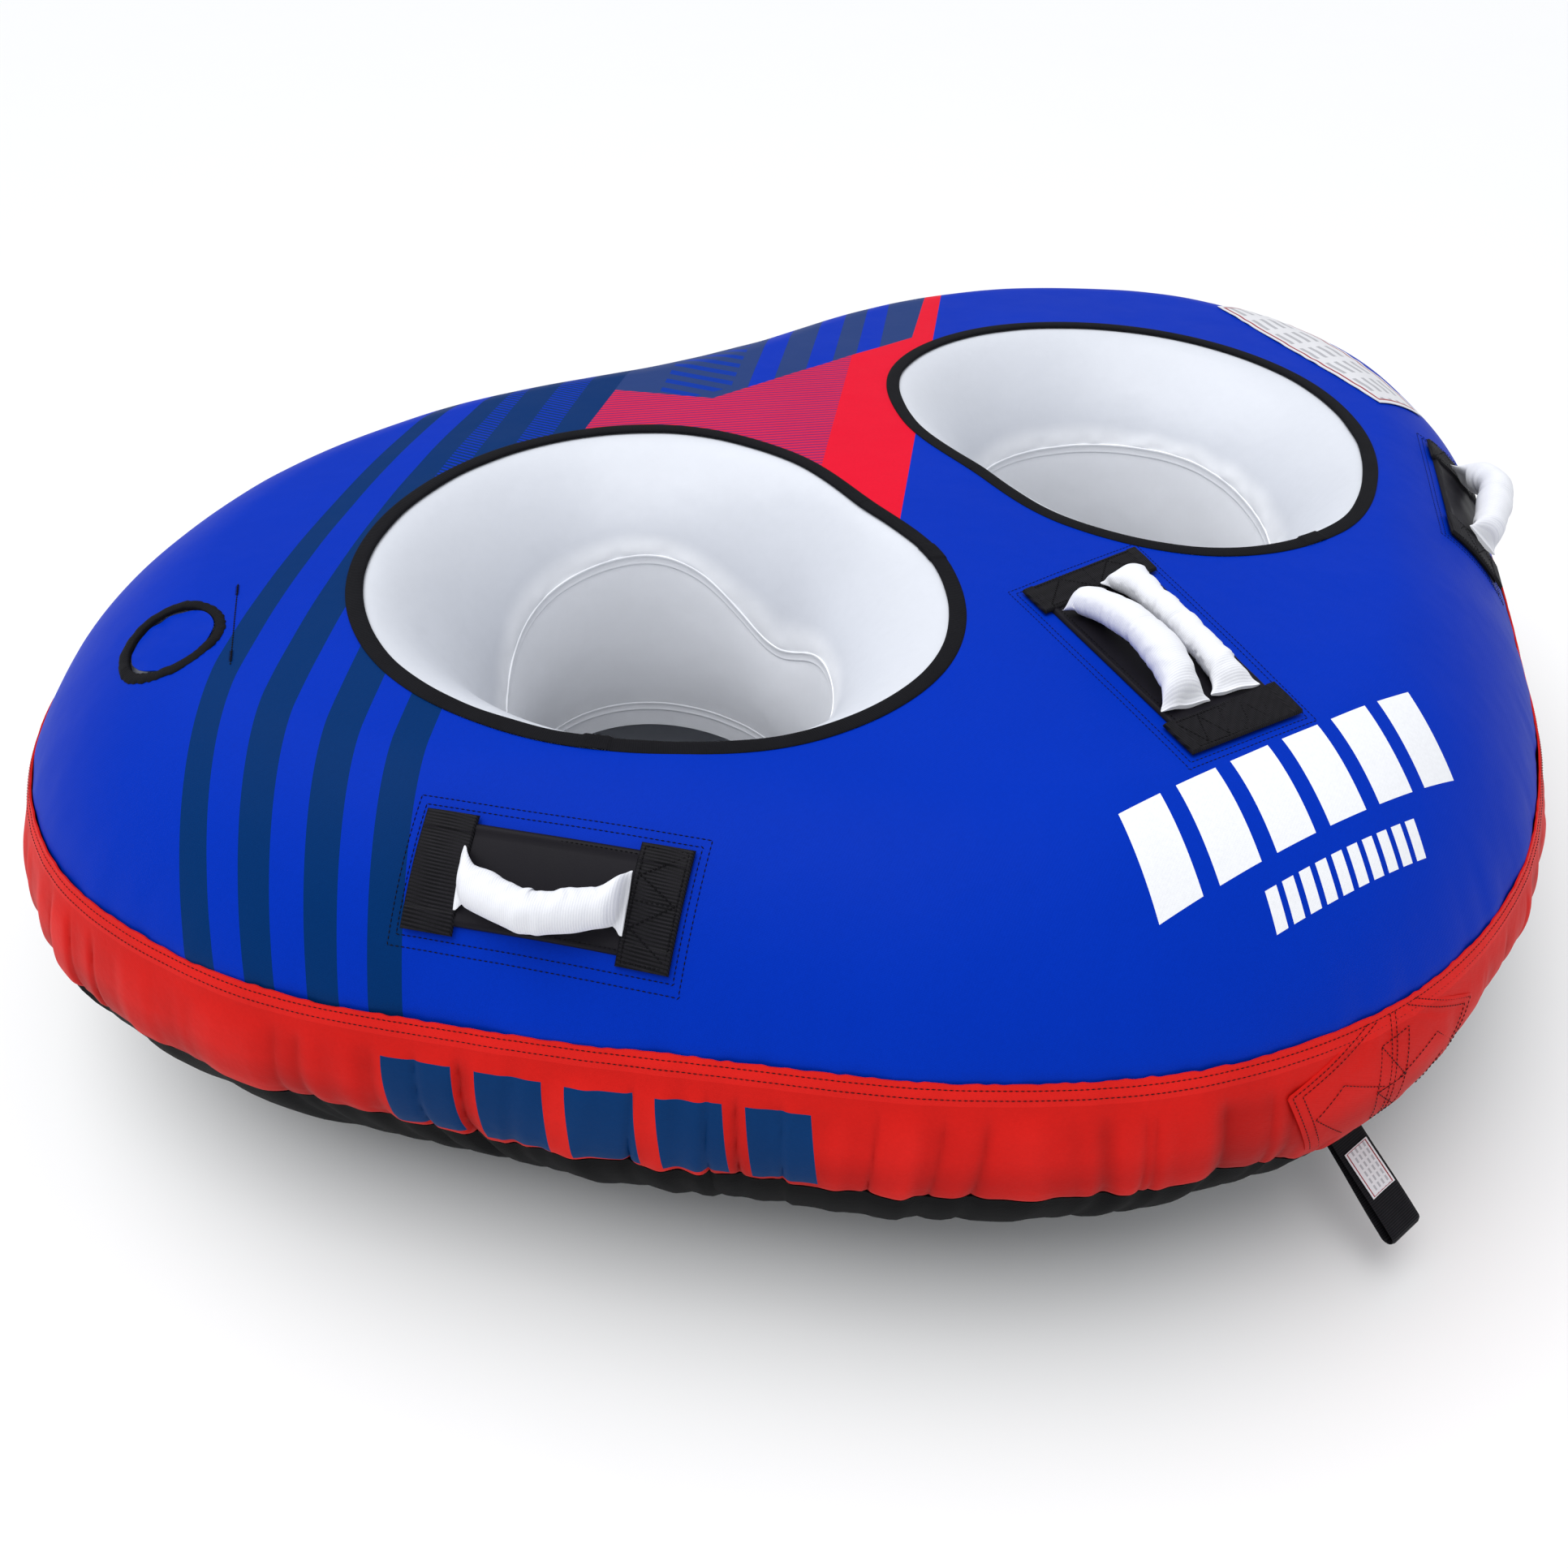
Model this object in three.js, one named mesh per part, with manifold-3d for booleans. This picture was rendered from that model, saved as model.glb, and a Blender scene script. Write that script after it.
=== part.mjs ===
// A two-rider cockpit tube for towing behind a boat.
// An air bladder with two deep seat wells sits inside a sewn cover: a blue top panel, a red side band and a
// black bottom. Handles, a tow loop, a valve under a cloth flap and a cover zip are joined to it.
//
// Units are millimetres. +Z is up, the tow nose points along -Y, and the two riders sit at -X and +X.
// The origin is on the flat bottom, midway between the riders.

import * as THREE from 'three';
import { mergeVertices } from 'three/addons/utils/BufferGeometryUtils.js';
import Module from 'manifold-3d';

const wasm = await Module();
wasm.setup();

// ---------------------------------------------------------------------------------------------------------
// Driving dimensions
// ---------------------------------------------------------------------------------------------------------

// Plan outline at the widest line: the radius from the origin every 15 degrees, from the nose to the rear.
const OUTLINE_RADII = [740, 732, 715, 710, 746, 818, 870, 854, 776, 677, 586, 524, 506];
const WIDEST_HEIGHT = 213; // height of the widest line, half the body's height at the rim of the deck
const EDGE_RUN = 204; // how far in from the outline the edge has rounded over to the flat
const EDGE_POWER = 1.67; // 2 would be a quarter ellipse; less is a little more pointed
const CROWN = 18; // how much the middle of the deck stands above its edge

// Seat wells. The mouth is a rounded D: its radius about the well's centre every 30 degrees, from +X.
const WELL_CENTRE = new THREE.Vector2(300, -80);
const MOUTH_RADII = [262, 275, 287, 297, 292, 261, 237, 265, 285, 275, 253, 250];
const THROAT_HALF_WIDTH = 150;
const THROAT_HALF_LENGTH = 188;
const UPPER_WELD_HEIGHT = 328;
const LOWER_WELD_HEIGHT = 147;
const WELD_BAND_HEIGHT = 10;
const WELD_BAND_THICKNESS = 1;
const WELL_FLOOR_SPREAD = 0.8; // share of the way from throat to mouth that the well opens out to below
const LIP_SHARE = 0.13; // share of the way from mouth to throat that the level lip under the binding takes
const LIP_DROP = 1; // how far the lip stands below the bladder's deck

// Cover
const COVER_THICKNESS = 1.6;
const GAP = 0.4; // air between two touching pieces
const TOP_SEAM_HEIGHT = 300;
const LOW_SEAM_HEIGHT = 199;
const LOW_SEAM_DIP = 66; // the tow strap pulls the low seam down by this much at the nose
const LOW_SEAM_DIP_BEARING = 7; // degrees each side of the nose over which the dip fades
const BOTTOM_PANEL_RISE = 3; // the flat bottom panel turns up this much at its edge
const BINDING_WIDTH = 14;
const BINDING_PROUD = 1.2;

// Handles: where the two ends of each grip are sewn down, in plan, from the rear end to the front end.
const SIDE_GRIP_REAR = new THREE.Vector2(-585, -300);
const SIDE_GRIP_FRONT = new THREE.Vector2(-497, -388);
const CENTRE_LEFT_GRIP_REAR = new THREE.Vector2(-18, -334);
const CENTRE_LEFT_GRIP_FRONT = new THREE.Vector2(-46, -478);
const CENTRE_RIGHT_GRIP_REAR = new THREE.Vector2(40, -330);
const CENTRE_RIGHT_GRIP_FRONT = new THREE.Vector2(8, -484);
const GRIP_WIDTH = 32;
const GRIP_THICKNESS = 26;
const GRIP_LENGTH_SHARE = 0.76; // of the distance between the sewn ends
const GRIP_ARCH_POWER = 2.4; // 2 would be a parabola; more is flatter in the middle
const STRAP_WIDTH = 12;
const STRAP_THICKNESS = 3;
const STRAP_CLEARANCE = 1; // air round the strap inside the grip
const LEFT_ARCH = { rise: 26, lean: 42 }; // height of a grip's arch, and degrees it leans outward
const CENTRE_LEFT_ARCH = { rise: 22, lean: -15 };
const CENTRE_RIGHT_ARCH = { rise: 20, lean: 20 };
const RIGHT_ARCH = { rise: 28, lean: 0 };
const HINGE_LIFT = 13; // the line that a handle turns about, above the deck
const SIDE_PAD_CORNERS = [[-585, -248], [-634, -294], [-489, -432], [-438, -386]];
const CENTRE_PAD_CORNERS = [[93, -281], [-47, -284], [-81, -520], [34, -529]];
const WEBBING_WIDTH = 40;
const PAD_LENGTH_SHARES = [0.02, 0.98]; // the pad's ends lie just inside the webbing's
const PAD_WIDTH_SHARES = [0.07, 0.93]; // the webbing is a little longer than the pad is wide
const PAD_OFFSETS = [1.2, 3.7]; // lower and upper face of a pad, above the deck
const WEBBING_OFFSETS = [4.2, 6.2];

// Label sewn on the right rear shoulder: bearings from the nose, and edge angles, in degrees.
const LABEL_BEARINGS = [72, 101];
const LABEL_ANGLES = [88, 66];

// Doubled patch on the nose of the side band: half its spread in degrees at each height, from the top down.
const NOSE_PATCH_ROWS = [[297, 2.8], [281, 6.3], [265, 9.8], [238, 9.6], [215, 9.4], [205, 9.2]];
const SKIN_OFFSETS = [1.1, 2]; // lower and upper face of a patch or label, above the cover

// Tow loop
const TOW_ANCHOR = new THREE.Vector3(0, -711, 112);
const TOW_LENGTH = 142;
const TOW_WIDTH = 38;
const TOW_EYE = 9; // clear gap between the two plies
const TOW_PLY = 2.6;
const TOW_LEAN = 41; // degrees forward of straight down
const TOW_LABEL = { length: 42, width: 30, thickness: 0.6, fromAnchor: 40, lift: 0.7 };

// Valve, under an opening in the left rear of the deck
const VALVE_PLACE = new THREE.Vector2(-693, 56);
const VALVE_OPENING_RADIUS = 39;
const VALVE_BINDING_WIDTH = 10;
const VALVE_BINDING_GAP = 1; // air between the binding and the cover's hole, and inside its outer edge
const VALVE_POCKET_RADIUS = 46;
const VALVE_POCKET_DEPTH = 18;
const VALVE_SOCKET_RADIUS = 19;
const VALVE_SOCKET_DEPTH = 60;
const FLAP_RADIUS = 35; // small enough to lift through the bound opening
const FLAP_DEPTH = 4;
const FLAP_THICKNESS = 1;

// Valve parts. Every level is a height along the valve's axis, with the deck at 0.
const BASE = { bore: 13, outer: 18.4, bottom: -53, top: -12 };
const BASE_FLANGE = { radius: 32, bottom: -17.6, top: -16 };
const BODY = { bore: 6, outer: 12.5, rim: 16, bottom: -50, rimBottom: -11.6, top: -9.8 };
const DIAPHRAGM = { radius: 9, bottom: -51.6, top: -50.4 };
const CAP = { radius: 17.5, bottom: -9.4, top: -7.4, plugRadius: 5.4, plugBottom: -22, plugTop: -8 };
const CAP_WING = { length: 22, size: 3 };

// Cover zip, in the straight rear of the side band
const ZIP_LENGTH = 480;
const ZIP_TAPE_HEIGHT = 28;
const ZIP_TAPE_THICKNESS = 1.2;
const ZIP_STAND_OFF = 1.6;
const ZIP_COIL = { shorter: 16, thickness: 1.6, height: 6, out: 2.4 };
const ZIP_SLIDER = { length: 14, thickness: 5, height: 12, out: 4.4, fromEnd: 22 };
const ZIP_CHANNEL = { length: 20, thickness: 3, height: 7, out: -1.5 };
const ZIP_PULL = { width: 9, thickness: 1.6, length: 34, out: 8.2, drop: 13 };

// How finely the curved surfaces are divided
const OUTLINE_COLUMNS = 24;
const RIDGE_COLUMNS = 8;
const DECK_ROWS = 3;
const SHOULDER_ROWS = 4;
const UPPER_ROWS = 5;
const BAND_ROWS = 2;
const LOWER_ROWS = 4;
const SKIRT_TURNS = [90, 60, 30, 0]; // degrees of the quarter turn between a well's floor and its lower weld
const NORMAL_STEP = 1; // distance over which a slope is taken
const NORMAL_TURN = 0.01; // the same on the rounded edge, in radians
const PAD_STEPS = [6, 4]; // along and across
const WEBBING_STEPS = [2, 5];
const LABEL_STEPS = [10, 3];
const NOSE_PATCH_COLUMNS = 6;
const GRIP_STEPS = 8;
const GRIP_ROUNDNESS = 6;
const STRAP_STEPS = 12;
const LOOP_ROUNDNESS = 6;
const TURNED_SIDES = 20;
const WIDE_TURNED_SIDES = 28;
const PLUG_SIDES = 12;

const ON_PLANE = 0.01; // a point this close to the middle plane is meant to be on it
const JOIN_DISTANCE = 1e-3; // mesh corners closer than this are one corner
const FLAT_ANGLE = 1e-6; // an edge angle this close to a quarter turn is on the flat
const CUTTER_REACH = 30; // how far a cutting cylinder stands clear of the surface it cuts

const BLADDER_OFFSET = -(COVER_THICKNESS + GAP);
const DEGREE = Math.PI / 180;

// ---------------------------------------------------------------------------------------------------------
// The outer surface
// ---------------------------------------------------------------------------------------------------------

// A smooth closed curve through values spread evenly round a full turn.
function smoothRound(values) {
  const count = values.length;
  const at = (i) => values[((i % count) + count) % count];
  return (angle) => {
    const place = (angle / (2 * Math.PI)) * count;
    const i = Math.floor(place);
    const f = place - i;
    const [a, b, c, d] = [at(i - 1), at(i), at(i + 1), at(i + 2)];
    return b + 0.5 * f * (c - a + f * (2 * a - 5 * b + 4 * c - d + f * (3 * (b - c) + d - a)));
  };
}

const mirroredRadii = OUTLINE_RADII.slice(1, -1).reverse();
const outlineRadius = smoothRound([...OUTLINE_RADII, ...mirroredRadii]);
const mouthRadius = smoothRound(MOUTH_RADII);

// Plan point at a bearing from the nose, counted towards +X.
function polar(bearing, radius) {
  return new THREE.Vector2(radius * Math.sin(bearing), -radius * Math.cos(bearing));
}

function deckHeight(x, y) {
  const radius = outlineRadius(Math.atan2(x, -y));
  const rho = Math.hypot(x, y);
  const inset = THREE.MathUtils.clamp((radius - rho) / EDGE_RUN, 0, 1);
  const rounding = Math.max(0, 1 - (1 - inset) ** EDGE_POWER) ** (1 / EDGE_POWER);
  const crown = CROWN * Math.max(0, 1 - (rho / radius) ** 2);
  return WIDEST_HEIGHT * (1 + rounding) + crown;
}

function deckNormal(x, y) {
  const slopeX = (deckHeight(x + NORMAL_STEP, y) - deckHeight(x - NORMAL_STEP, y)) / (2 * NORMAL_STEP);
  const slopeY = (deckHeight(x, y + NORMAL_STEP) - deckHeight(x, y - NORMAL_STEP)) / (2 * NORMAL_STEP);
  return new THREE.Vector3(-slopeX, -slopeY, 1).normalize();
}

// A point above the deck, measured along the deck's normal.
function onDeck(plan, offset) {
  const point = new THREE.Vector3(plan.x, plan.y, deckHeight(plan.x, plan.y));
  return settle(point.addScaledVector(deckNormal(plan.x, plan.y), offset));
}

// Points meant to be on the middle plane are put exactly there, so that the two halves join.
function settle(point) {
  if (Math.abs(point.x) < ON_PLANE) {
    point.x = 0;
  }
  return point;
}

// The rounded edge: angle 90 degrees is where the deck starts to turn down, 0 the widest line, -90 the floor.
function edgeSurface(bearing, angle) {
  const inset = EDGE_RUN * (1 - Math.abs(Math.cos(angle)) ** (2 / EDGE_POWER));
  const plan = polar(bearing, outlineRadius(bearing) - inset);
  const fall = WIDEST_HEIGHT * (1 - Math.abs(Math.sin(angle)) ** (2 / EDGE_POWER));
  const height = angle > 0 ? deckHeight(plan.x, plan.y) : fall;
  return new THREE.Vector3(plan.x, plan.y, height);
}

function edgeNormal(bearing, angle) {
  const up = Math.min(angle + NORMAL_TURN, Math.PI / 2);
  const down = Math.max(angle - NORMAL_TURN, -Math.PI / 2);
  const along = edgeSurface(bearing + NORMAL_TURN, angle).sub(edgeSurface(bearing - NORMAL_TURN, angle));
  const downhill = edgeSurface(bearing, down).sub(edgeSurface(bearing, up));
  return downhill.cross(along).normalize();
}

function onEdge(bearing, angle, offset) {
  const flatBottom = angle <= -Math.PI / 2 + FLAT_ANGLE;
  const flatTop = angle >= Math.PI / 2 - FLAT_ANGLE;
  const point = edgeSurface(bearing, angle);
  if (flatTop) {
    return onDeck(point, offset);
  }
  const normal = flatBottom ? new THREE.Vector3(0, 0, -1) : edgeNormal(bearing, angle);
  return settle(point.addScaledVector(normal, offset));
}

// The edge angle at which the edge surface is at a given height.
function edgeAngle(height) {
  const share = (height - WIDEST_HEIGHT) / WIDEST_HEIGHT;
  return Math.sign(share) * Math.asin(Math.abs(share) ** (EDGE_POWER / 2));
}

// ---------------------------------------------------------------------------------------------------------
// Closed meshes from rows of points
// ---------------------------------------------------------------------------------------------------------

function addTriangle(triangles, a, b, c) {
  const flat = a.equals(b) || b.equals(c) || c.equals(a);
  if (!flat) {
    triangles.push([a, b, c]);
  }
}

// Joins each row to the next. A closed grid also joins its last column to its first. Facing the other way
// keeps the same diagonals, so that the two faces of a thin sheet stay parallel.
function addGrid(triangles, rows, { closed = false, facingBack = false } = {}) {
  const columnCount = rows[0].length;
  const last = closed ? columnCount : columnCount - 1;
  for (let r = 0; r + 1 < rows.length; r += 1) {
    for (let c = 0; c < last; c += 1) {
      const next = (c + 1) % columnCount;
      const [a, b, d, e] = [rows[r][c], rows[r + 1][c], rows[r + 1][next], rows[r][next]];
      addTriangle(triangles, a, ...(facingBack ? [d, b] : [b, d]));
      addTriangle(triangles, a, ...(facingBack ? [e, d] : [d, e]));
    }
  }
}

// The two faces of a thin sheet.
function addFaces(triangles, outer, inner, closed = false) {
  addGrid(triangles, outer, { closed });
  addGrid(triangles, inner, { closed, facingBack: true });
}

function mirrored(point) {
  return new THREE.Vector3(-point.x, point.y, point.z);
}

function signedVolume(triangles) {
  return triangles.reduce((sum, [a, b, c]) => sum + a.dot(new THREE.Vector3().crossVectors(b, c)) / 6, 0);
}

// One closed body with its faces pointing out.
function bodyFrom(triangles) {
  const inward = signedVolume(triangles) < 0;
  const ordered = inward ? triangles.map(([a, b, c]) => [a, c, b]) : triangles;
  const geometry = new THREE.BufferGeometry();
  const numbers = ordered.flat().flatMap((point) => point.toArray());
  geometry.setAttribute('position', new THREE.Float32BufferAttribute(numbers, 3));
  return mergeVertices(geometry, JOIN_DISTANCE);
}

// Adds the other half of a piece that was made for x >= 0 only.
function withOtherHalf(triangles) {
  const other = triangles.map(([a, b, c]) => [mirrored(a), mirrored(c), mirrored(b)]);
  return [...triangles, ...other];
}

// A closed slab between two matching sets of rows.
function slab(upper, lower) {
  const triangles = [];
  addFaces(triangles, upper, lower);
  addGrid(triangles, [lower[0], upper[0]]);
  addGrid(triangles, [upper.at(-1), lower.at(-1)]);
  const edge = (rows, column) => rows.map((row) => row[column]);
  addGrid(triangles, [edge(upper, 0), edge(lower, 0)]);
  addGrid(triangles, [edge(lower, upper[0].length - 1), edge(upper, upper[0].length - 1)]);
  return bodyFrom(triangles);
}

// A ring whose section is a list of closed rows.
function ring(section) {
  const triangles = [];
  addGrid(triangles, [...section, section[0]], { closed: true });
  return bodyFrom(triangles);
}

// ---------------------------------------------------------------------------------------------------------
// Joining and cutting
// ---------------------------------------------------------------------------------------------------------

function toSolid(geometry) {
  const bare = geometry.index ? geometry.toNonIndexed() : geometry.clone();
  bare.deleteAttribute('normal');
  bare.deleteAttribute('uv');
  const merged = mergeVertices(bare, JOIN_DISTANCE);
  const mesh = new wasm.Mesh({
    numProp: 3,
    vertProperties: new Float32Array(merged.attributes.position.array),
    triVerts: new Uint32Array(merged.index.array),
  });
  return new wasm.Manifold(mesh);
}

function fromSolid(solid) {
  const mesh = solid.getMesh();
  const geometry = new THREE.BufferGeometry();
  geometry.setAttribute('position', new THREE.BufferAttribute(mesh.vertProperties, 3));
  geometry.setIndex(new THREE.BufferAttribute(mesh.triVerts, 1));
  return geometry;
}

function cut(geometry, ...cutters) {
  return fromSolid(cutters.reduce((solid, cutter) => solid.subtract(toSolid(cutter)), toSolid(geometry)));
}

function join(geometry, ...others) {
  return fromSolid(others.reduce((solid, other) => solid.add(toSolid(other)), toSolid(geometry)));
}

// ---------------------------------------------------------------------------------------------------------
// Columns: lines in plan from a well's mouth out to where the edge starts, or to the ridge between the wells
// ---------------------------------------------------------------------------------------------------------

function makeColumns() {
  const ends = [];
  for (let i = 0; i <= OUTLINE_COLUMNS; i += 1) {
    const bearing = (i / OUTLINE_COLUMNS) * Math.PI;
    ends.push(settle(polar(bearing, outlineRadius(bearing) - EDGE_RUN)));
  }
  const rear = ends.at(-1).y;
  const nose = ends[0].y;
  for (let i = 1; i < RIDGE_COLUMNS; i += 1) {
    ends.push(new THREE.Vector2(0, THREE.MathUtils.lerp(rear, nose, i / RIDGE_COLUMNS)));
  }
  return ends.map(makeColumn);
}

function makeColumn(end) {
  const angle = Math.atan2(end.y - WELL_CENTRE.y, end.x - WELL_CENTRE.x);
  const ray = new THREE.Vector2(Math.cos(angle), Math.sin(angle));
  const mouth = WELL_CENTRE.clone().addScaledVector(ray, mouthRadius(angle));
  const throatRadius = 1 / Math.hypot(ray.x / THROAT_HALF_WIDTH, ray.y / THROAT_HALF_LENGTH);
  const throat = WELL_CENTRE.clone().addScaledVector(ray, throatRadius);
  const foot = throat.clone().lerp(mouth, WELL_FLOOR_SPREAD);
  return { ray, mouth, throat, foot, end };
}

const columns = makeColumns();

// A row across all columns, from the mouth (0) to the column's end (1).
function deckRow(share, offset, outward = 0) {
  return columns.map(({ ray, mouth, end }) => {
    const plan = mouth.clone().lerp(end, share).addScaledVector(ray, outward);
    return onDeck(plan, offset);
  });
}

function deckRows(offset, outward) {
  const rows = [deckRow(0, offset, outward)];
  for (let i = 1; i <= DECK_ROWS; i += 1) {
    rows.push(deckRow(i / DECK_ROWS, offset));
  }
  return rows;
}

// A row along the outline. The edge angle is a function of the bearing from the nose.
function edgeRow(angleAt, offset) {
  const row = [];
  for (let i = 0; i <= OUTLINE_COLUMNS; i += 1) {
    const bearing = (i / OUTLINE_COLUMNS) * Math.PI;
    row.push(onEdge(bearing, angleAt(bearing), offset));
  }
  return row;
}

function edgeRows(from, to, count, offset) {
  const rows = [];
  for (let i = 0; i <= count; i += 1) {
    const angleAt = (bearing) => THREE.MathUtils.lerp(from(bearing), to(bearing), i / count);
    rows.push(edgeRow(angleAt, offset));
  }
  return rows;
}

const TOP_ANGLE = Math.PI / 2;
const SEAM_STEP = GAP / EDGE_RUN; // edge angle that leaves one gap between two cover panels
const deckEdge = () => TOP_ANGLE;
const topSeam = () => edgeAngle(TOP_SEAM_HEIGHT);
const panelEdge = () => edgeAngle(BOTTOM_PANEL_RISE);
const floorEdge = () => -TOP_ANGLE;
const justBelow = (line) => (bearing) => line(bearing) - SEAM_STEP;

function lowSeam(bearing) {
  const fade = Math.exp(-((bearing / (LOW_SEAM_DIP_BEARING * DEGREE)) ** 2));
  return edgeAngle(LOW_SEAM_HEIGHT - LOW_SEAM_DIP * fade);
}

// ---------------------------------------------------------------------------------------------------------
// Air bladder
// ---------------------------------------------------------------------------------------------------------

// The funnel from the mouth down to the upper weld, a quarter ellipse in section.
function shoulderRow(turn) {
  return columns.map(({ mouth, throat }) => {
    const lip = mouth.clone().lerp(throat, LIP_SHARE);
    const lipHeight = deckHeight(lip.x, lip.y) + BLADDER_OFFSET - LIP_DROP;
    const plan = lip.clone().lerp(throat, Math.sin(turn));
    const height = THREE.MathUtils.lerp(UPPER_WELD_HEIGHT, lipHeight, Math.cos(turn));
    return new THREE.Vector3(plan.x, plan.y, height);
  });
}

// Below the lower weld the well opens out again, to the floor.
function skirtRow(turn) {
  return columns.map(({ throat, foot }) => {
    const plan = throat.clone().lerp(foot, 1 - Math.cos(turn));
    const height = THREE.MathUtils.lerp(LOWER_WELD_HEIGHT, -BLADDER_OFFSET, Math.sin(turn));
    return new THREE.Vector3(plan.x, plan.y, height);
  });
}

function wellRows() {
  const floor = columns.map(({ end }) => new THREE.Vector3(end.x, end.y, -BLADDER_OFFSET));
  const rows = [floor];
  for (const turn of SKIRT_TURNS) {
    rows.push(skirtRow(turn * DEGREE));
  }
  for (let i = SHOULDER_ROWS; i >= 0; i -= 1) {
    rows.push(shoulderRow((i / SHOULDER_ROWS) * TOP_ANGLE));
  }
  return rows;
}

function bladderShell() {
  const upper = edgeRows(deckEdge, topSeam, UPPER_ROWS, BLADDER_OFFSET);
  const middle = edgeRows(topSeam, lowSeam, BAND_ROWS, BLADDER_OFFSET);
  const lower = edgeRows(lowSeam, panelEdge, LOWER_ROWS, BLADDER_OFFSET);
  const floor = edgeRow(floorEdge, BLADDER_OFFSET);
  const triangles = [];
  addGrid(triangles, [...wellRows(), ...deckRows(BLADDER_OFFSET)], { closed: true });
  addGrid(triangles, [...upper, ...middle.slice(1), ...lower.slice(1), floor]);
  return bodyFrom(withOtherHalf(triangles));
}

function airBladder() {
  const pocket = valveCylinder(VALVE_POCKET_RADIUS, -VALVE_POCKET_DEPTH, CUTTER_REACH);
  const socket = valveCylinder(VALVE_SOCKET_RADIUS, -VALVE_SOCKET_DEPTH, 0);
  return cut(bladderShell(), pocket, socket);
}

// The raised strip where two films of the bladder are welded together, round a throat.
function weldBand(bottom, side) {
  const face = (inward, height) => columns.map(({ ray, throat }) => {
    const plan = throat.clone().addScaledVector(ray, -inward);
    return new THREE.Vector3(side * plan.x, plan.y, height);
  });
  const top = bottom + WELD_BAND_HEIGHT;
  const outer = GAP;
  const inner = GAP + WELD_BAND_THICKNESS;
  return ring([face(outer, bottom), face(outer, top), face(inner, top), face(inner, bottom)]);
}

// ---------------------------------------------------------------------------------------------------------
// Cover
// ---------------------------------------------------------------------------------------------------------

function topPanel() {
  const deck = [0, -COVER_THICKNESS].map((offset) => deckRows(offset, GAP));
  const edge = [0, -COVER_THICKNESS].map((offset) => edgeRows(deckEdge, topSeam, UPPER_ROWS, offset));
  const triangles = [];
  addFaces(triangles, deck[0], deck[1], true);
  addFaces(triangles, edge[0], edge[1]);
  addGrid(triangles, [deck[1][0], deck[0][0]], { closed: true });
  addGrid(triangles, [edge[0].at(-1), edge[1].at(-1)]);
  const openingRadius = VALVE_OPENING_RADIUS + VALVE_BINDING_WIDTH + VALVE_BINDING_GAP;
  const opening = valveCylinder(openingRadius, -CUTTER_REACH, CUTTER_REACH);
  return cut(bodyFrom(withOtherHalf(triangles)), opening);
}

// A band of the cover between two lines round the edge.
function band(from, to, count) {
  const outer = edgeRows(from, to, count, 0);
  const inner = edgeRows(from, to, count, -COVER_THICKNESS);
  const triangles = [];
  addFaces(triangles, outer, inner);
  addGrid(triangles, [inner[0], outer[0]]);
  addGrid(triangles, [outer.at(-1), inner.at(-1)]);
  return bodyFrom(withOtherHalf(triangles));
}

function bottomPanel() {
  const start = justBelow(panelEdge);
  const centre = (height) => Array(OUTLINE_COLUMNS + 1).fill(new THREE.Vector3(0, 0, height));
  const outer = [...edgeRows(start, floorEdge, 1, 0), centre(0)];
  const inner = [...edgeRows(start, floorEdge, 1, -COVER_THICKNESS), centre(COVER_THICKNESS)];
  const triangles = [];
  addFaces(triangles, outer, inner);
  addGrid(triangles, [inner[0], outer[0]]);
  return bodyFrom(withOtherHalf(triangles));
}

// The folded tape sewn round the edge of a seat opening.
function mouthBinding(side) {
  const face = (inward, offset) => columns.map(({ ray, mouth }) => {
    const point = onDeck(mouth.clone().addScaledVector(ray, -inward), offset);
    return new THREE.Vector3(side * point.x, point.y, point.z);
  });
  const top = BINDING_PROUD;
  const bottom = -COVER_THICKNESS;
  return ring([face(0, bottom), face(0, top), face(BINDING_WIDTH, top), face(BINDING_WIDTH, bottom)]);
}

// ---------------------------------------------------------------------------------------------------------
// Flat goods that follow the deck
// ---------------------------------------------------------------------------------------------------------

// A slab over the four-cornered area, between two shares along it and two across it.
function sheetOnDeck(corners, along, across, offsets, steps) {
  const [rearIn, rearOut, frontOut, frontIn] = corners.map(([x, y]) => new THREE.Vector2(x, y));
  const rows = (offset) => {
    const made = [];
    for (let j = 0; j <= steps[1]; j += 1) {
      const v = THREE.MathUtils.lerp(across[0], across[1], j / steps[1]);
      const rear = rearIn.clone().lerp(rearOut, v);
      const front = frontIn.clone().lerp(frontOut, v);
      const row = [];
      for (let i = 0; i <= steps[0]; i += 1) {
        const u = THREE.MathUtils.lerp(along[0], along[1], i / steps[0]);
        row.push(onDeck(rear.clone().lerp(front, u), offset));
      }
      made.push(row);
    }
    return made;
  };
  return slab(rows(offsets[1]), rows(offsets[0]));
}

function mirrorCorners(corners) {
  return corners.map(([x, y]) => [-x, y]);
}

function addHandlePad(name, corners) {
  const [rearIn, , , frontIn] = corners;
  const length = Math.hypot(rearIn[0] - frontIn[0], rearIn[1] - frontIn[1]);
  const strip = WEBBING_WIDTH / length;
  const pad = sheetOnDeck(corners, PAD_LENGTH_SHARES, PAD_WIDTH_SHARES, PAD_OFFSETS, PAD_STEPS);
  const strips = { rear: [0, strip], front: [1 - strip, 1] };
  add(`handle_pad_${name}`, pad, neoprene);
  for (const [end, along] of Object.entries(strips)) {
    const webbingStrip = sheetOnDeck(corners, along, [0, 1], WEBBING_OFFSETS, WEBBING_STEPS);
    add(`end_webbing_${name}_${end}`, webbingStrip, webbing);
  }
}

// ---------------------------------------------------------------------------------------------------------
// Handles
// ---------------------------------------------------------------------------------------------------------

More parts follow.
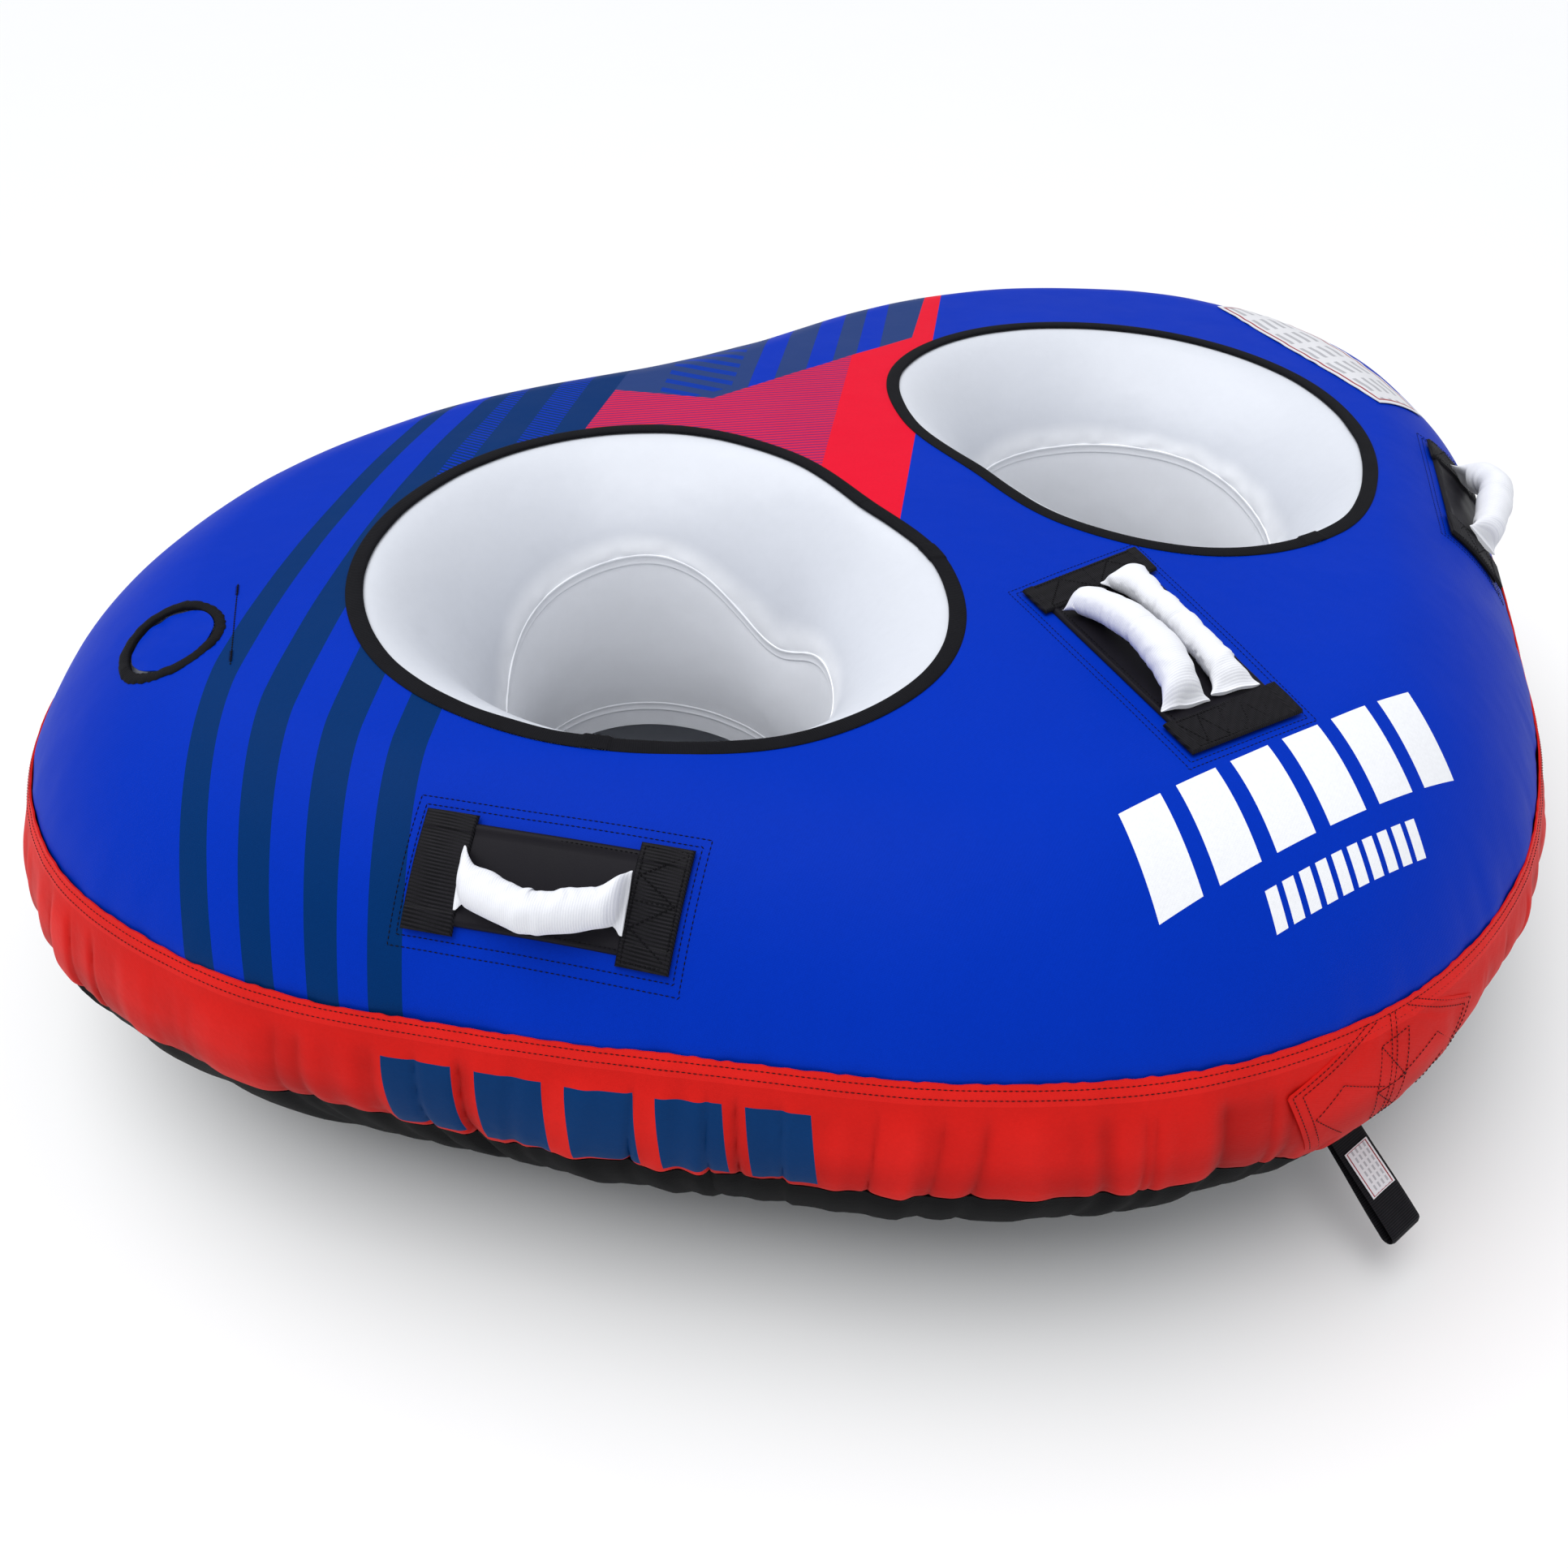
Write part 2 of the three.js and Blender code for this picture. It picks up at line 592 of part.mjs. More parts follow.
// The arch that a handle's strap follows: flat on the hinge line at its ends, highest in the middle.
class HandleArch extends THREE.Curve {
  constructor(span, rise, reach) {
    super();
    Object.assign(this, { span, rise, reach });
  }

  getPoint(t, target = new THREE.Vector3()) {
    const x = THREE.MathUtils.lerp(-this.reach, this.reach, t);
    const height = this.rise * (1 - Math.abs((2 * x) / this.span) ** GRIP_ARCH_POWER);
    return target.set(x, 0, height);
  }
}

function gripSection() {
  const shape = new THREE.Shape();
  shape.absellipse(0, 0, GRIP_WIDTH / 2, GRIP_THICKNESS / 2, 0, 2 * Math.PI);
  const slot = rectangle(STRAP_WIDTH + 2 * STRAP_CLEARANCE, STRAP_THICKNESS + 2 * STRAP_CLEARANCE);
  shape.holes.push(new THREE.Path(slot.getPoints()));
  return shape;
}

function rectangle(width, height) {
  const shape = new THREE.Shape();
  shape.moveTo(-width / 2, -height / 2);
  shape.lineTo(width / 2, -height / 2);
  shape.lineTo(width / 2, height / 2);
  shape.lineTo(-width / 2, height / 2);
  shape.closePath();
  return shape;
}

function sweep(shape, path, steps, roundness) {
  return new THREE.ExtrudeGeometry(shape, { extrudePath: path, steps, curveSegments: roundness });
}

// A group whose local X runs along the hinge line and whose local Z leans outward by the given angle.
function handleFrame(rear, front, lean) {
  const middle = rear.clone().lerp(front, 0.5);
  const along = onDeck(front, 0).sub(onDeck(rear, 0)).normalize();
  const up = deckNormal(middle.x, middle.y);
  const across = up.clone().cross(along).normalize();
  const basis = new THREE.Matrix4().makeBasis(along, across, along.clone().cross(across));
  const frame = new THREE.Group();
  frame.quaternion.setFromRotationMatrix(basis);
  frame.rotateX(lean * DEGREE);
  frame.position.copy(onDeck(middle, 0)).addScaledVector(up, HINGE_LIFT);
  return frame;
}

function addHandle(name, rear, front, { rise, lean }) {
  const span = onDeck(rear, 0).distanceTo(onDeck(front, 0));
  const frame = handleFrame(rear, front, lean);
  frame.name = `frame_handle_${name}`;
  const gripArch = new HandleArch(span, rise, (GRIP_LENGTH_SHARE * span) / 2);
  const strapArch = new HandleArch(span, rise, span / 2);
  add(`grip_${name}`, sweep(gripSection(), gripArch, GRIP_STEPS, GRIP_ROUNDNESS), whiteFabric, frame);
  const strap = sweep(rectangle(STRAP_WIDTH, STRAP_THICKNESS), strapArch, STRAP_STEPS);
  add(`grip_strap_${name}`, strap, webbing, frame);
  object.add(frame);
}

// ---------------------------------------------------------------------------------------------------------
// Tow loop at the nose
// ---------------------------------------------------------------------------------------------------------

// A long loop of webbing seen from the side: two plies with a round turn at each end.
function towLoop() {
  const half = TOW_EYE / 2 + TOW_PLY;
  const obround = (radius, make) => {
    const path = new make();
    path.absarc(0, 0, radius, Math.PI / 2, 1.5 * Math.PI);
    path.absarc(TOW_LENGTH - 2 * half, 0, radius, -Math.PI / 2, Math.PI / 2);
    path.closePath();
    return path;
  };
  const shape = obround(half, THREE.Shape);
  shape.holes.push(obround(TOW_EYE / 2, THREE.Path));
  const settings = { depth: TOW_WIDTH, bevelEnabled: false, curveSegments: LOOP_ROUNDNESS };
  return new THREE.ExtrudeGeometry(shape, settings).translate(half, 0, -TOW_WIDTH / 2);
}

// Local X runs down the loop, local Y out of its upper face, local Z across it.
function addTowLoop() {
  const lean = TOW_LEAN * DEGREE;
  const down = new THREE.Vector3(0, -Math.sin(lean), -Math.cos(lean));
  const across = new THREE.Vector3(-1, 0, 0);
  const out = across.clone().cross(down);
  const frame = new THREE.Group();
  frame.quaternion.setFromRotationMatrix(new THREE.Matrix4().makeBasis(down, out, across));
  frame.position.copy(TOW_ANCHOR);
  frame.name = 'frame_tow_loop';
  add('tow_loop', towLoop(), webbing, frame);
  const { length, width, thickness, fromAnchor, lift } = TOW_LABEL;
  const label = new THREE.BoxGeometry(length, thickness, width);
  label.translate(fromAnchor, TOW_EYE / 2 + TOW_PLY + lift, 0);
  add('tow_label', label, labelWhite, frame);
  object.add(frame);
}

// A patch on the rounded edge. place() turns a point in it, 0 to 1 each way, into bearing and edge angle.
function edgePatch(place, steps) {
  const rows = (offset) => {
    const made = [];
    for (let j = 0; j <= steps[1]; j += 1) {
      const row = [];
      for (let i = 0; i <= steps[0]; i += 1) {
        const [bearing, angle] = place(i / steps[0], j / steps[1]);
        row.push(edgeSurface(bearing, angle).addScaledVector(edgeNormal(bearing, angle), offset));
      }
      made.push(row);
    }
    return made;
  };
  return slab(rows(SKIN_OFFSETS[1]), rows(SKIN_OFFSETS[0]));
}

// The doubled patch sewn over the nose of the side band, where the tow load enters the cover.
function nosePatch() {
  const last = NOSE_PATCH_ROWS.length - 1;
  const place = (u, v) => {
    const [height, spread] = NOSE_PATCH_ROWS[Math.round(v * last)];
    return [(2 * u - 1) * spread * DEGREE, edgeAngle(height)];
  };
  return edgePatch(place, [NOSE_PATCH_COLUMNS, last]);
}

function shoulderLabel() {
  const place = (u, v) => [
    THREE.MathUtils.lerp(...LABEL_BEARINGS, u) * DEGREE,
    THREE.MathUtils.lerp(...LABEL_ANGLES, v) * DEGREE,
  ];
  return edgePatch(place, LABEL_STEPS);
}

// ---------------------------------------------------------------------------------------------------------
// Valve
// ---------------------------------------------------------------------------------------------------------

// Local Z is the deck's normal at the valve, local X points inboard.
function valveFrame() {
  const up = deckNormal(VALVE_PLACE.x, VALVE_PLACE.y);
  const inboard = new THREE.Vector3(1, 0, 0).addScaledVector(up, -up.x).normalize();
  const frame = new THREE.Group();
  const basis = new THREE.Matrix4().makeBasis(inboard, up.clone().cross(inboard), up);
  frame.quaternion.setFromRotationMatrix(basis);
  frame.position.copy(onDeck(VALVE_PLACE, 0));
  frame.name = 'frame_valve';
  frame.updateMatrixWorld();
  return frame;
}

function valveCylinder(radius, bottom, top) {
  const geometry = new THREE.CylinderGeometry(radius, radius, top - bottom, WIDE_TURNED_SIDES);
  geometry.rotateX(Math.PI / 2).translate(0, 0, (top + bottom) / 2);
  return geometry.applyMatrix4(valveFrame().matrixWorld);
}

// A turned part: the profile's points are [radius, height], and the height becomes local Z.
function turned(profile, sides) {
  const points = profile.map(([radius, height]) => new THREE.Vector2(radius, height));
  return new THREE.LatheGeometry(points, sides).rotateX(Math.PI / 2);
}

function valveBase() {
  const { bore, outer, bottom, top } = BASE;
  const flange = BASE_FLANGE;
  return turned([
    [bore, bottom],
    [outer, bottom],
    [outer, flange.bottom],
    [flange.radius, flange.bottom],
    [flange.radius, flange.top],
    [outer, flange.top],
    [outer, top],
    [bore, top],
    [bore, bottom],
  ], WIDE_TURNED_SIDES);
}

function valveBody() {
  const { bore, outer, rim, bottom, rimBottom, top } = BODY;
  return turned([
    [bore, bottom],
    [outer, bottom],
    [outer, rimBottom],
    [rim, rimBottom],
    [rim, top],
    [bore, top],
    [bore, bottom],
  ], TURNED_SIDES);
}

function disc(radius, bottom, top, sides) {
  return turned([[0, bottom], [radius, bottom], [radius, top], [0, top]], sides);
}

function valveCap() {
  const lid = disc(CAP.radius, CAP.bottom, CAP.top, TURNED_SIDES);
  const plug = disc(CAP.plugRadius, CAP.plugBottom, CAP.plugTop, PLUG_SIDES);
  const wing = new THREE.BoxGeometry(CAP_WING.length, CAP_WING.size, CAP_WING.size).translate(0, 0, CAP.top);
  return join(lid, plug, wing);
}

// The tape round the valve opening follows the deck, so it is made in place.
function valveBinding() {
  const frame = valveFrame();
  const face = (radius, offset) => {
    const row = [];
    for (let i = 0; i < WIDE_TURNED_SIDES; i += 1) {
      const turn = (i / WIDE_TURNED_SIDES) * 2 * Math.PI;
      const flat = new THREE.Vector3(radius * Math.cos(turn), radius * Math.sin(turn), 0);
      const place = flat.applyMatrix4(frame.matrixWorld);
      row.push(onDeck(place, offset));
    }
    return row;
  };
  const inner = VALVE_OPENING_RADIUS;
  const outer = VALVE_OPENING_RADIUS + VALVE_BINDING_WIDTH - VALVE_BINDING_GAP;
  const top = BINDING_PROUD;
  const bottom = -COVER_THICKNESS;
  return ring([face(inner, bottom), face(inner, top), face(outer, top), face(outer, bottom)]);
}

function addValve() {
  const frame = valveFrame();
  add('valve_base', valveBase(), greyPlastic, frame);
  add('valve_body', valveBody(), blackPlastic, frame);
  const diaphragm = disc(DIAPHRAGM.radius, DIAPHRAGM.bottom, DIAPHRAGM.top, TURNED_SIDES);
  const flap = disc(FLAP_RADIUS, -FLAP_DEPTH, FLAP_THICKNESS - FLAP_DEPTH, WIDE_TURNED_SIDES);
  add('valve_diaphragm', diaphragm, blackRubber, frame);
  add('valve_cap', valveCap(), blackPlastic, frame);
  add('valve_flap', flap, blueFabric, frame);
  object.add(frame);
  add('valve_opening_binding', valveBinding(), binding);
}

// ---------------------------------------------------------------------------------------------------------
// Cover zip
// ---------------------------------------------------------------------------------------------------------

function zipBlock(length, thickness, height, out) {
  return new THREE.BoxGeometry(length, thickness, height).translate(0, out, 0);
}

// Local X runs along the zip, local Y out of the cover.
function addZip() {
  const zip = new THREE.Group();
  zip.position.set(0, OUTLINE_RADII.at(-1) + ZIP_STAND_OFF, WIDEST_HEIGHT);
  zip.name = 'frame_zip';
  const sliderPlace = ZIP_SLIDER.fromEnd - ZIP_LENGTH / 2;
  const tape = zipBlock(ZIP_LENGTH, ZIP_TAPE_THICKNESS, ZIP_TAPE_HEIGHT, ZIP_TAPE_THICKNESS / 2);
  add('zip_tape', tape, webbing, zip);
  const { shorter, thickness, height, out } = ZIP_COIL;
  add('zip_coil', zipBlock(ZIP_LENGTH - shorter, thickness, height, out), blackPlastic, zip);
  const block = zipBlock(ZIP_SLIDER.length, ZIP_SLIDER.thickness, ZIP_SLIDER.height, 0);
  const channel = zipBlock(ZIP_CHANNEL.length, ZIP_CHANNEL.thickness, ZIP_CHANNEL.height, ZIP_CHANNEL.out);
  const slider = cut(block, channel).translate(sliderPlace, ZIP_SLIDER.out, 0);
  add('zip_slider', slider, blackPlastic, zip);
  const pull = zipBlock(ZIP_PULL.width, ZIP_PULL.thickness, ZIP_PULL.length, ZIP_PULL.out);
  add('zip_pull', pull.translate(sliderPlace, 0, -ZIP_PULL.drop), webbing, zip);
  object.add(zip);
}

// ---------------------------------------------------------------------------------------------------------
// Materials
// ---------------------------------------------------------------------------------------------------------

function material(color, roughness, metalness = 0) {
  return () => new THREE.MeshStandardMaterial({ color, roughness, metalness });
}

const whiteFilm = material(0xdadde2, 0.35);
const blueFabric = material(0x0b37c4, 0.5);
const redFabric = material(0xd3261c, 0.55);
const blackFabric = material(0x151517, 0.7);
const binding = material(0x1b1a1c, 0.8);
const neoprene = material(0x1d1c1f, 0.75);
const webbing = material(0x161618, 0.85);
const whiteFabric = material(0xf1f1f4, 0.7);
const labelWhite = material(0xeeeef0, 0.5);
const greyPlastic = material(0xb9bcc2, 0.4);
const blackPlastic = material(0x19191b, 0.45);
const blackRubber = material(0x121212, 0.8);

// ---------------------------------------------------------------------------------------------------------
// Assembly
// ---------------------------------------------------------------------------------------------------------

const object = new THREE.Group();

function add(name, geometry, makeMaterial, parent = object) {
  const mesh = new THREE.Mesh(geometry, makeMaterial());
  mesh.name = name;
  parent.add(mesh);
}

add('air_bladder', airBladder(), whiteFilm);
for (const [name, side] of [['left', -1], ['right', 1]]) {
  add(`upper_weld_${name}`, weldBand(UPPER_WELD_HEIGHT - WELD_BAND_HEIGHT, side), whiteFilm);
  add(`lower_weld_${name}`, weldBand(LOWER_WELD_HEIGHT, side), whiteFilm);
  add(`mouth_binding_${name}`, mouthBinding(side), binding);
}

add('cover_top_panel', topPanel(), blueFabric);
add('cover_side_band', band(justBelow(topSeam), lowSeam, BAND_ROWS), redFabric);
add('cover_lower_band', band(justBelow(lowSeam), panelEdge, LOWER_ROWS), blackFabric);
add('cover_bottom_panel', bottomPanel(), blackFabric);

addHandlePad('left', SIDE_PAD_CORNERS);
addHandlePad('centre', CENTRE_PAD_CORNERS);
addHandlePad('right', mirrorCorners(SIDE_PAD_CORNERS));

const mirrorPlan = (plan) => new THREE.Vector2(-plan.x, plan.y);
addHandle('left', SIDE_GRIP_REAR, SIDE_GRIP_FRONT, LEFT_ARCH);
addHandle('centre_left', CENTRE_LEFT_GRIP_REAR, CENTRE_LEFT_GRIP_FRONT, CENTRE_LEFT_ARCH);
addHandle('centre_right', CENTRE_RIGHT_GRIP_REAR, CENTRE_RIGHT_GRIP_FRONT, CENTRE_RIGHT_ARCH);
addHandle('right', mirrorPlan(SIDE_GRIP_REAR), mirrorPlan(SIDE_GRIP_FRONT), RIGHT_ARCH);

addTowLoop();
add('nose_patch', nosePatch(), redFabric);
add('shoulder_label', shoulderLabel(), labelWhite);
addValve();
addZip();

export default object;
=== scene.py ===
"""The looks of the two-rider towable tube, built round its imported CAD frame. Metres, in the CAD's frame."""

import math

import bmesh
import bpy
import numpy as np
from mathutils import Matrix


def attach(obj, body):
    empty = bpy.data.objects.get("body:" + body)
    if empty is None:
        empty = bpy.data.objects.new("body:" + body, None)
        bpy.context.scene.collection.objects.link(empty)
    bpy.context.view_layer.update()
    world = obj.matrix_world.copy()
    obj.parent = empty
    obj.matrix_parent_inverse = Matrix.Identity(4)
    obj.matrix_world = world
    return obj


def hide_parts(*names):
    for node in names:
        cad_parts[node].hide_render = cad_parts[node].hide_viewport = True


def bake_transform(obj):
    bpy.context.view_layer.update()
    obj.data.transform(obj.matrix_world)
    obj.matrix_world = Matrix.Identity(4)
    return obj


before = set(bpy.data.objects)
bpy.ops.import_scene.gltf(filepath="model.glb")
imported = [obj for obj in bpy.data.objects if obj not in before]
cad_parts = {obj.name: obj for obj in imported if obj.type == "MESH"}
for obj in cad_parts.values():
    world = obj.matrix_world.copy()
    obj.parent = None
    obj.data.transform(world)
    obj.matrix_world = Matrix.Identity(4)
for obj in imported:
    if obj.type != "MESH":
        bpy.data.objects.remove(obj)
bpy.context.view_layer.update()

MM = 0.001
TURN = 2 * math.pi


# ----------------------------------------------------------------------------------------------------------
# Camera
# ----------------------------------------------------------------------------------------------------------

CAMERA_PLACE = (-0.7615, -0.9751, 1.0517)
CAMERA_BEARING = -0.594
CAMERA_TILT = 0.711
CAMERA_ROLL = 0.025
CAMERA_LENS = 29.5


def make_camera():
    level, tilt, roll = CAMERA_BEARING, CAMERA_TILT, CAMERA_ROLL
    back = np.array([
        math.sin(level) * math.cos(tilt),
        -math.cos(level) * math.cos(tilt),
        math.sin(tilt),
    ])
    right = np.array([math.cos(level), math.sin(level), 0.0])
    up = np.cross(back, right)
    rolled_right = math.cos(roll) * right + math.sin(roll) * up
    rolled_up = math.cos(roll) * up - math.sin(roll) * right
    data = bpy.data.cameras.new("camera")
    data.lens = CAMERA_LENS
    data.sensor_width = 36
    data.clip_start = 0.02
    camera = bpy.data.objects.new("camera", data)
    turned = Matrix((rolled_right, rolled_up, back)).transposed().to_4x4()
    camera.matrix_world = Matrix.Translation(CAMERA_PLACE) @ turned
    bpy.context.scene.collection.objects.link(camera)
    bpy.context.scene.camera = camera


make_camera()


# ----------------------------------------------------------------------------------------------------------
# The outer surface. Its driving dimensions are the CAD's, apart from the lower edge's tucks and the skirt.
# ----------------------------------------------------------------------------------------------------------

OUTLINE_RADII = [740, 732, 715, 710, 746, 818, 870, 854, 776, 677, 586, 524, 506]
MOUTH_RADII = [262, 275, 287, 297, 292, 261, 237, 265, 285, 275, 253, 250]
WIDEST_HEIGHT = 213 * MM
EDGE_RUN = 204 * MM
EDGE_POWER = 1.67
CROWN = 18 * MM
WELL_CENTRE = np.array([300, -80]) * MM
THROAT_HALF_WIDTH = 150 * MM
THROAT_HALF_LENGTH = 188 * MM
LOWER_WELD_HEIGHT = 147 * MM
WELD_HEIGHT = 10 * MM
SKIRT_HEIGHT = 125 * MM  # below this the well turns outwards under the tube
WELL_FLOOR_SPREAD = 0.8
LIP_SHARE = 0.13
COVER_THICKNESS = 1.6 * MM
GAP = 0.4 * MM
BLADDER_OFFSET = -2 * MM
TOP_SEAM_HEIGHT = 300 * MM
LOW_SEAM_HEIGHT = 199 * MM
LOW_SEAM_DIP = 66 * MM
LOW_SEAM_DIP_BEARING = math.radians(7)
BOTTOM_PANEL_RISE = 3 * MM

# Where the gathers pull the lower edge in: how far, the bearing in degrees, and the reach either way.
TUCKS = [(42 * MM, 12, 8.5), (12 * MM, -68, 13)]


def smooth_round(values):
    """A smooth closed curve through values in millimetres, spread evenly round a full turn."""
    values = np.array(values) * MM
    count = len(values)

    def curve(angle):
        place = np.asarray(angle) / TURN * count
        i = np.floor(place).astype(int)
        f = place - i
        a, b, c, d = (values[(i + k) % count] for k in (-1, 0, 1, 2))
        return b + 0.5 * f * (c - a + f * (2 * a - 5 * b + 4 * c - d + f * (3 * (b - c) + d - a)))

    return curve


outline_radius = smooth_round(OUTLINE_RADII + OUTLINE_RADII[-2:0:-1])
mouth_radius = smooth_round(MOUTH_RADII)


def unit(vectors):
    return vectors / np.maximum(np.linalg.norm(vectors, axis=-1, keepdims=True), 1e-12)


def points(x, y, z):
    return np.stack(np.broadcast_arrays(x, y, z), -1).astype(float)


def polar(bearing, radius):
    """Plan coordinates at a bearing from the nose, counted towards +X."""
    return radius * np.sin(bearing), -radius * np.cos(bearing)


def deck_height(x, y):
    radius = outline_radius(np.arctan2(x, -np.asarray(y)))
    rho = np.hypot(x, y)
    inset = np.clip((radius - rho) / EDGE_RUN, 0, 1)
    rounding = np.maximum(0, 1 - (1 - inset) ** EDGE_POWER) ** (1 / EDGE_POWER)
    return WIDEST_HEIGHT * (1 + rounding) + CROWN * np.maximum(0, 1 - (rho / radius) ** 2)


def deck_normal(x, y, step=1 * MM):
    slope_x = (deck_height(x + step, y) - deck_height(x - step, y)) / (2 * step)
    slope_y = (deck_height(x, y + step) - deck_height(x, y - step)) / (2 * step)
    return unit(points(-slope_x, -slope_y, 1))


def on_deck(x, y, offset=0.0):
    lifted = np.asarray(offset, float)[..., None]
    return points(x, y, deck_height(x, y)) + deck_normal(x, y) * lifted


def tucked_in(bearing, angle):
    """How far the gathers pull the lower edge in, beside the nose and at the left end."""
    degrees = np.degrees(from_nose(bearing))
    deep = sum(depth * np.exp(-((degrees - middle) / reach) ** 2) for depth, middle, reach in TUCKS)
    return deep * ease(angle, 0.35, -0.45) * (1 - 0.6 * ease(angle, -0.8, -1.4))


def edge_surface(bearing, angle):
    """The rounded edge: angle is a quarter turn where the deck starts to fall, 0 at the widest line."""
    radius = outline_radius(bearing) - EDGE_RUN * (1 - np.abs(np.cos(angle)) ** (2 / EDGE_POWER))
    fall = WIDEST_HEIGHT * (1 - np.abs(np.sin(angle)) ** (2 / EDGE_POWER))
    height = np.where(angle > 0, deck_height(*polar(bearing, radius)), fall)
    return points(*polar(bearing, radius - tucked_in(bearing, angle)), height)


def edge_normal(bearing, angle, step=0.01):
    quarter = math.pi / 2
    up = np.minimum(angle + step, quarter)
    down = np.maximum(angle - step, -quarter)
    along = edge_surface(bearing + step, angle) - edge_surface(bearing - step, angle)
    downhill = edge_surface(bearing, down) - edge_surface(bearing, up)
    return unit(np.cross(downhill, along))


def on_edge(bearing, angle, offset=0.0):
    bearing, angle = np.broadcast_arrays(np.asarray(bearing, float), np.asarray(angle, float))
    surface = edge_surface(bearing, angle)
    normal = edge_normal(bearing, angle)
    flat_top = (angle >= math.pi / 2 - 1e-6)[..., None]
    flat_bottom = (angle <= -math.pi / 2 + 1e-6)[..., None]
    normal = np.where(flat_top, deck_normal(surface[..., 0], surface[..., 1]), normal)
    normal = np.where(flat_bottom, np.array([0.0, 0.0, -1.0]), normal)
    return surface + normal * np.broadcast_to(offset, angle.shape)[..., None]


def edge_angle(height):
    share = (np.asarray(height) - WIDEST_HEIGHT) / WIDEST_HEIGHT
    return np.sign(share) * np.arcsin(np.abs(share) ** (EDGE_POWER / 2))


def from_nose(bearing):
    """The bearing counted either way from the nose, from minus to plus half a turn."""
    return (np.asarray(bearing) + math.pi) % TURN - math.pi


def low_seam_height(bearing):
    return LOW_SEAM_HEIGHT - LOW_SEAM_DIP * np.exp(-((from_nose(bearing) / LOW_SEAM_DIP_BEARING) ** 2))


# ----------------------------------------------------------------------------------------------------------
# Smooth steps and seeded unevenness
# ----------------------------------------------------------------------------------------------------------


def ease(value, start, end):
    share = np.clip((np.asarray(value) - start) / (end - start), 0, 1)
    return share * share * (3 - 2 * share)


def lerp(a, b, share):
    return a + (b - a) * share


def wander(place, count, seed):
    """Smooth unevenness from -1 to 1 that repeats after count steps."""
    values = np.random.default_rng(seed).uniform(-1, 1, count)
    i = np.floor(place).astype(int)
    f = ease(place - i, 0, 1)
    return values[i % count] * (1 - f) + values[(i + 1) % count] * f


def around(bearing, count, seed):
    """Unevenness with count steps in a full turn, along the outline or round a well."""
    return wander((np.asarray(bearing) / TURN % 1) * count, count, seed)


def patchy(x, y, size, seed):
    """Smooth unevenness from -1 to 1 over an area."""
    values = np.random.default_rng(seed).uniform(-1, 1, (64, 64))
    u, v = np.broadcast_arrays(np.asarray(x) / size, np.asarray(y) / size)
    i, j = np.floor(u).astype(int), np.floor(v).astype(int)
    f, g = ease(u - i, 0, 1), ease(v - j, 0, 1)
    near = values[i % 64, j % 64] * (1 - f) + values[(i + 1) % 64, j % 64] * f
    far = values[i % 64, (j + 1) % 64] * (1 - f) + values[(i + 1) % 64, (j + 1) % 64] * f
    return near * (1 - g) + far * g


# ----------------------------------------------------------------------------------------------------------
# Meshes from rows of points
# ----------------------------------------------------------------------------------------------------------


class Shell:
    """Collects arrays of points, and the faces that join their rows."""

    def __init__(self):
        self.points = []
        self.faces = []
        self.count = 0

    def add(self, rows):
        """Stores an array (rows, columns, 3) and gives back the points' numbers, as (rows, columns)."""
        rows = np.asarray(rows, float)
        numbers = np.arange(self.count, self.count + rows[..., 0].size).reshape(rows.shape[:-1])
        self.points.append(rows.reshape(-1, 3))
        self.count += rows[..., 0].size
        return numbers

    def join(self, rows, closed=False):
        rows = np.asarray(rows)
        if closed:
            rows = np.concatenate([rows, rows[:, :1]], axis=1)
        corners = (rows[:-1, :-1], rows[1:, :-1], rows[1:, 1:], rows[:-1, 1:])
        self.faces.append(np.stack(corners, -1).reshape(-1, 4))

    def sheet(self, outer, inner, closed=False):
        """Both faces of a thin sheet, and the rims at its first and last row."""
        outer, inner = self.add(outer), self.add(inner)
        for rows in (outer, inner, [outer[0], inner[0]], [outer[-1], inner[-1]]):
            self.join(rows, closed)
        if not closed:
            self.join([outer[:, 0], inner[:, 0]])
            self.join([outer[:, -1], inner[:, -1]])

    def piece(self, name, finish, sharp=50, weld=1e-6):
        """One Blender object with its faces pointing out."""
        mesh = bpy.data.meshes.new(name)
        faces = np.concatenate(self.faces)
        mesh.from_pydata(np.concatenate(self.points).tolist(), [], faces.tolist())
        work = bmesh.new()
        work.from_mesh(mesh)
        bmesh.ops.remove_doubles(work, verts=work.verts, dist=weld)
        bmesh.ops.recalc_face_normals(work, faces=work.faces)
        work.to_mesh(mesh)
        work.free()
        mesh.shade_smooth()
        mesh.set_sharp_from_angle(angle=math.radians(sharp))
        mesh.materials.append(finish)
        thing = bpy.data.objects.new(name, mesh)
        bpy.context.scene.collection.objects.link(thing)
        return thing


def settle(thing, body, slot, *nodes):
    """Rides a piece on its body and hides the CAD nodes it stands for. The finish's name, slot, is not used.
    """
    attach(thing, body)
    if nodes:
        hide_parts(*nodes)
    return thing


# ----------------------------------------------------------------------------------------------------------
# Materials
# ----------------------------------------------------------------------------------------------------------


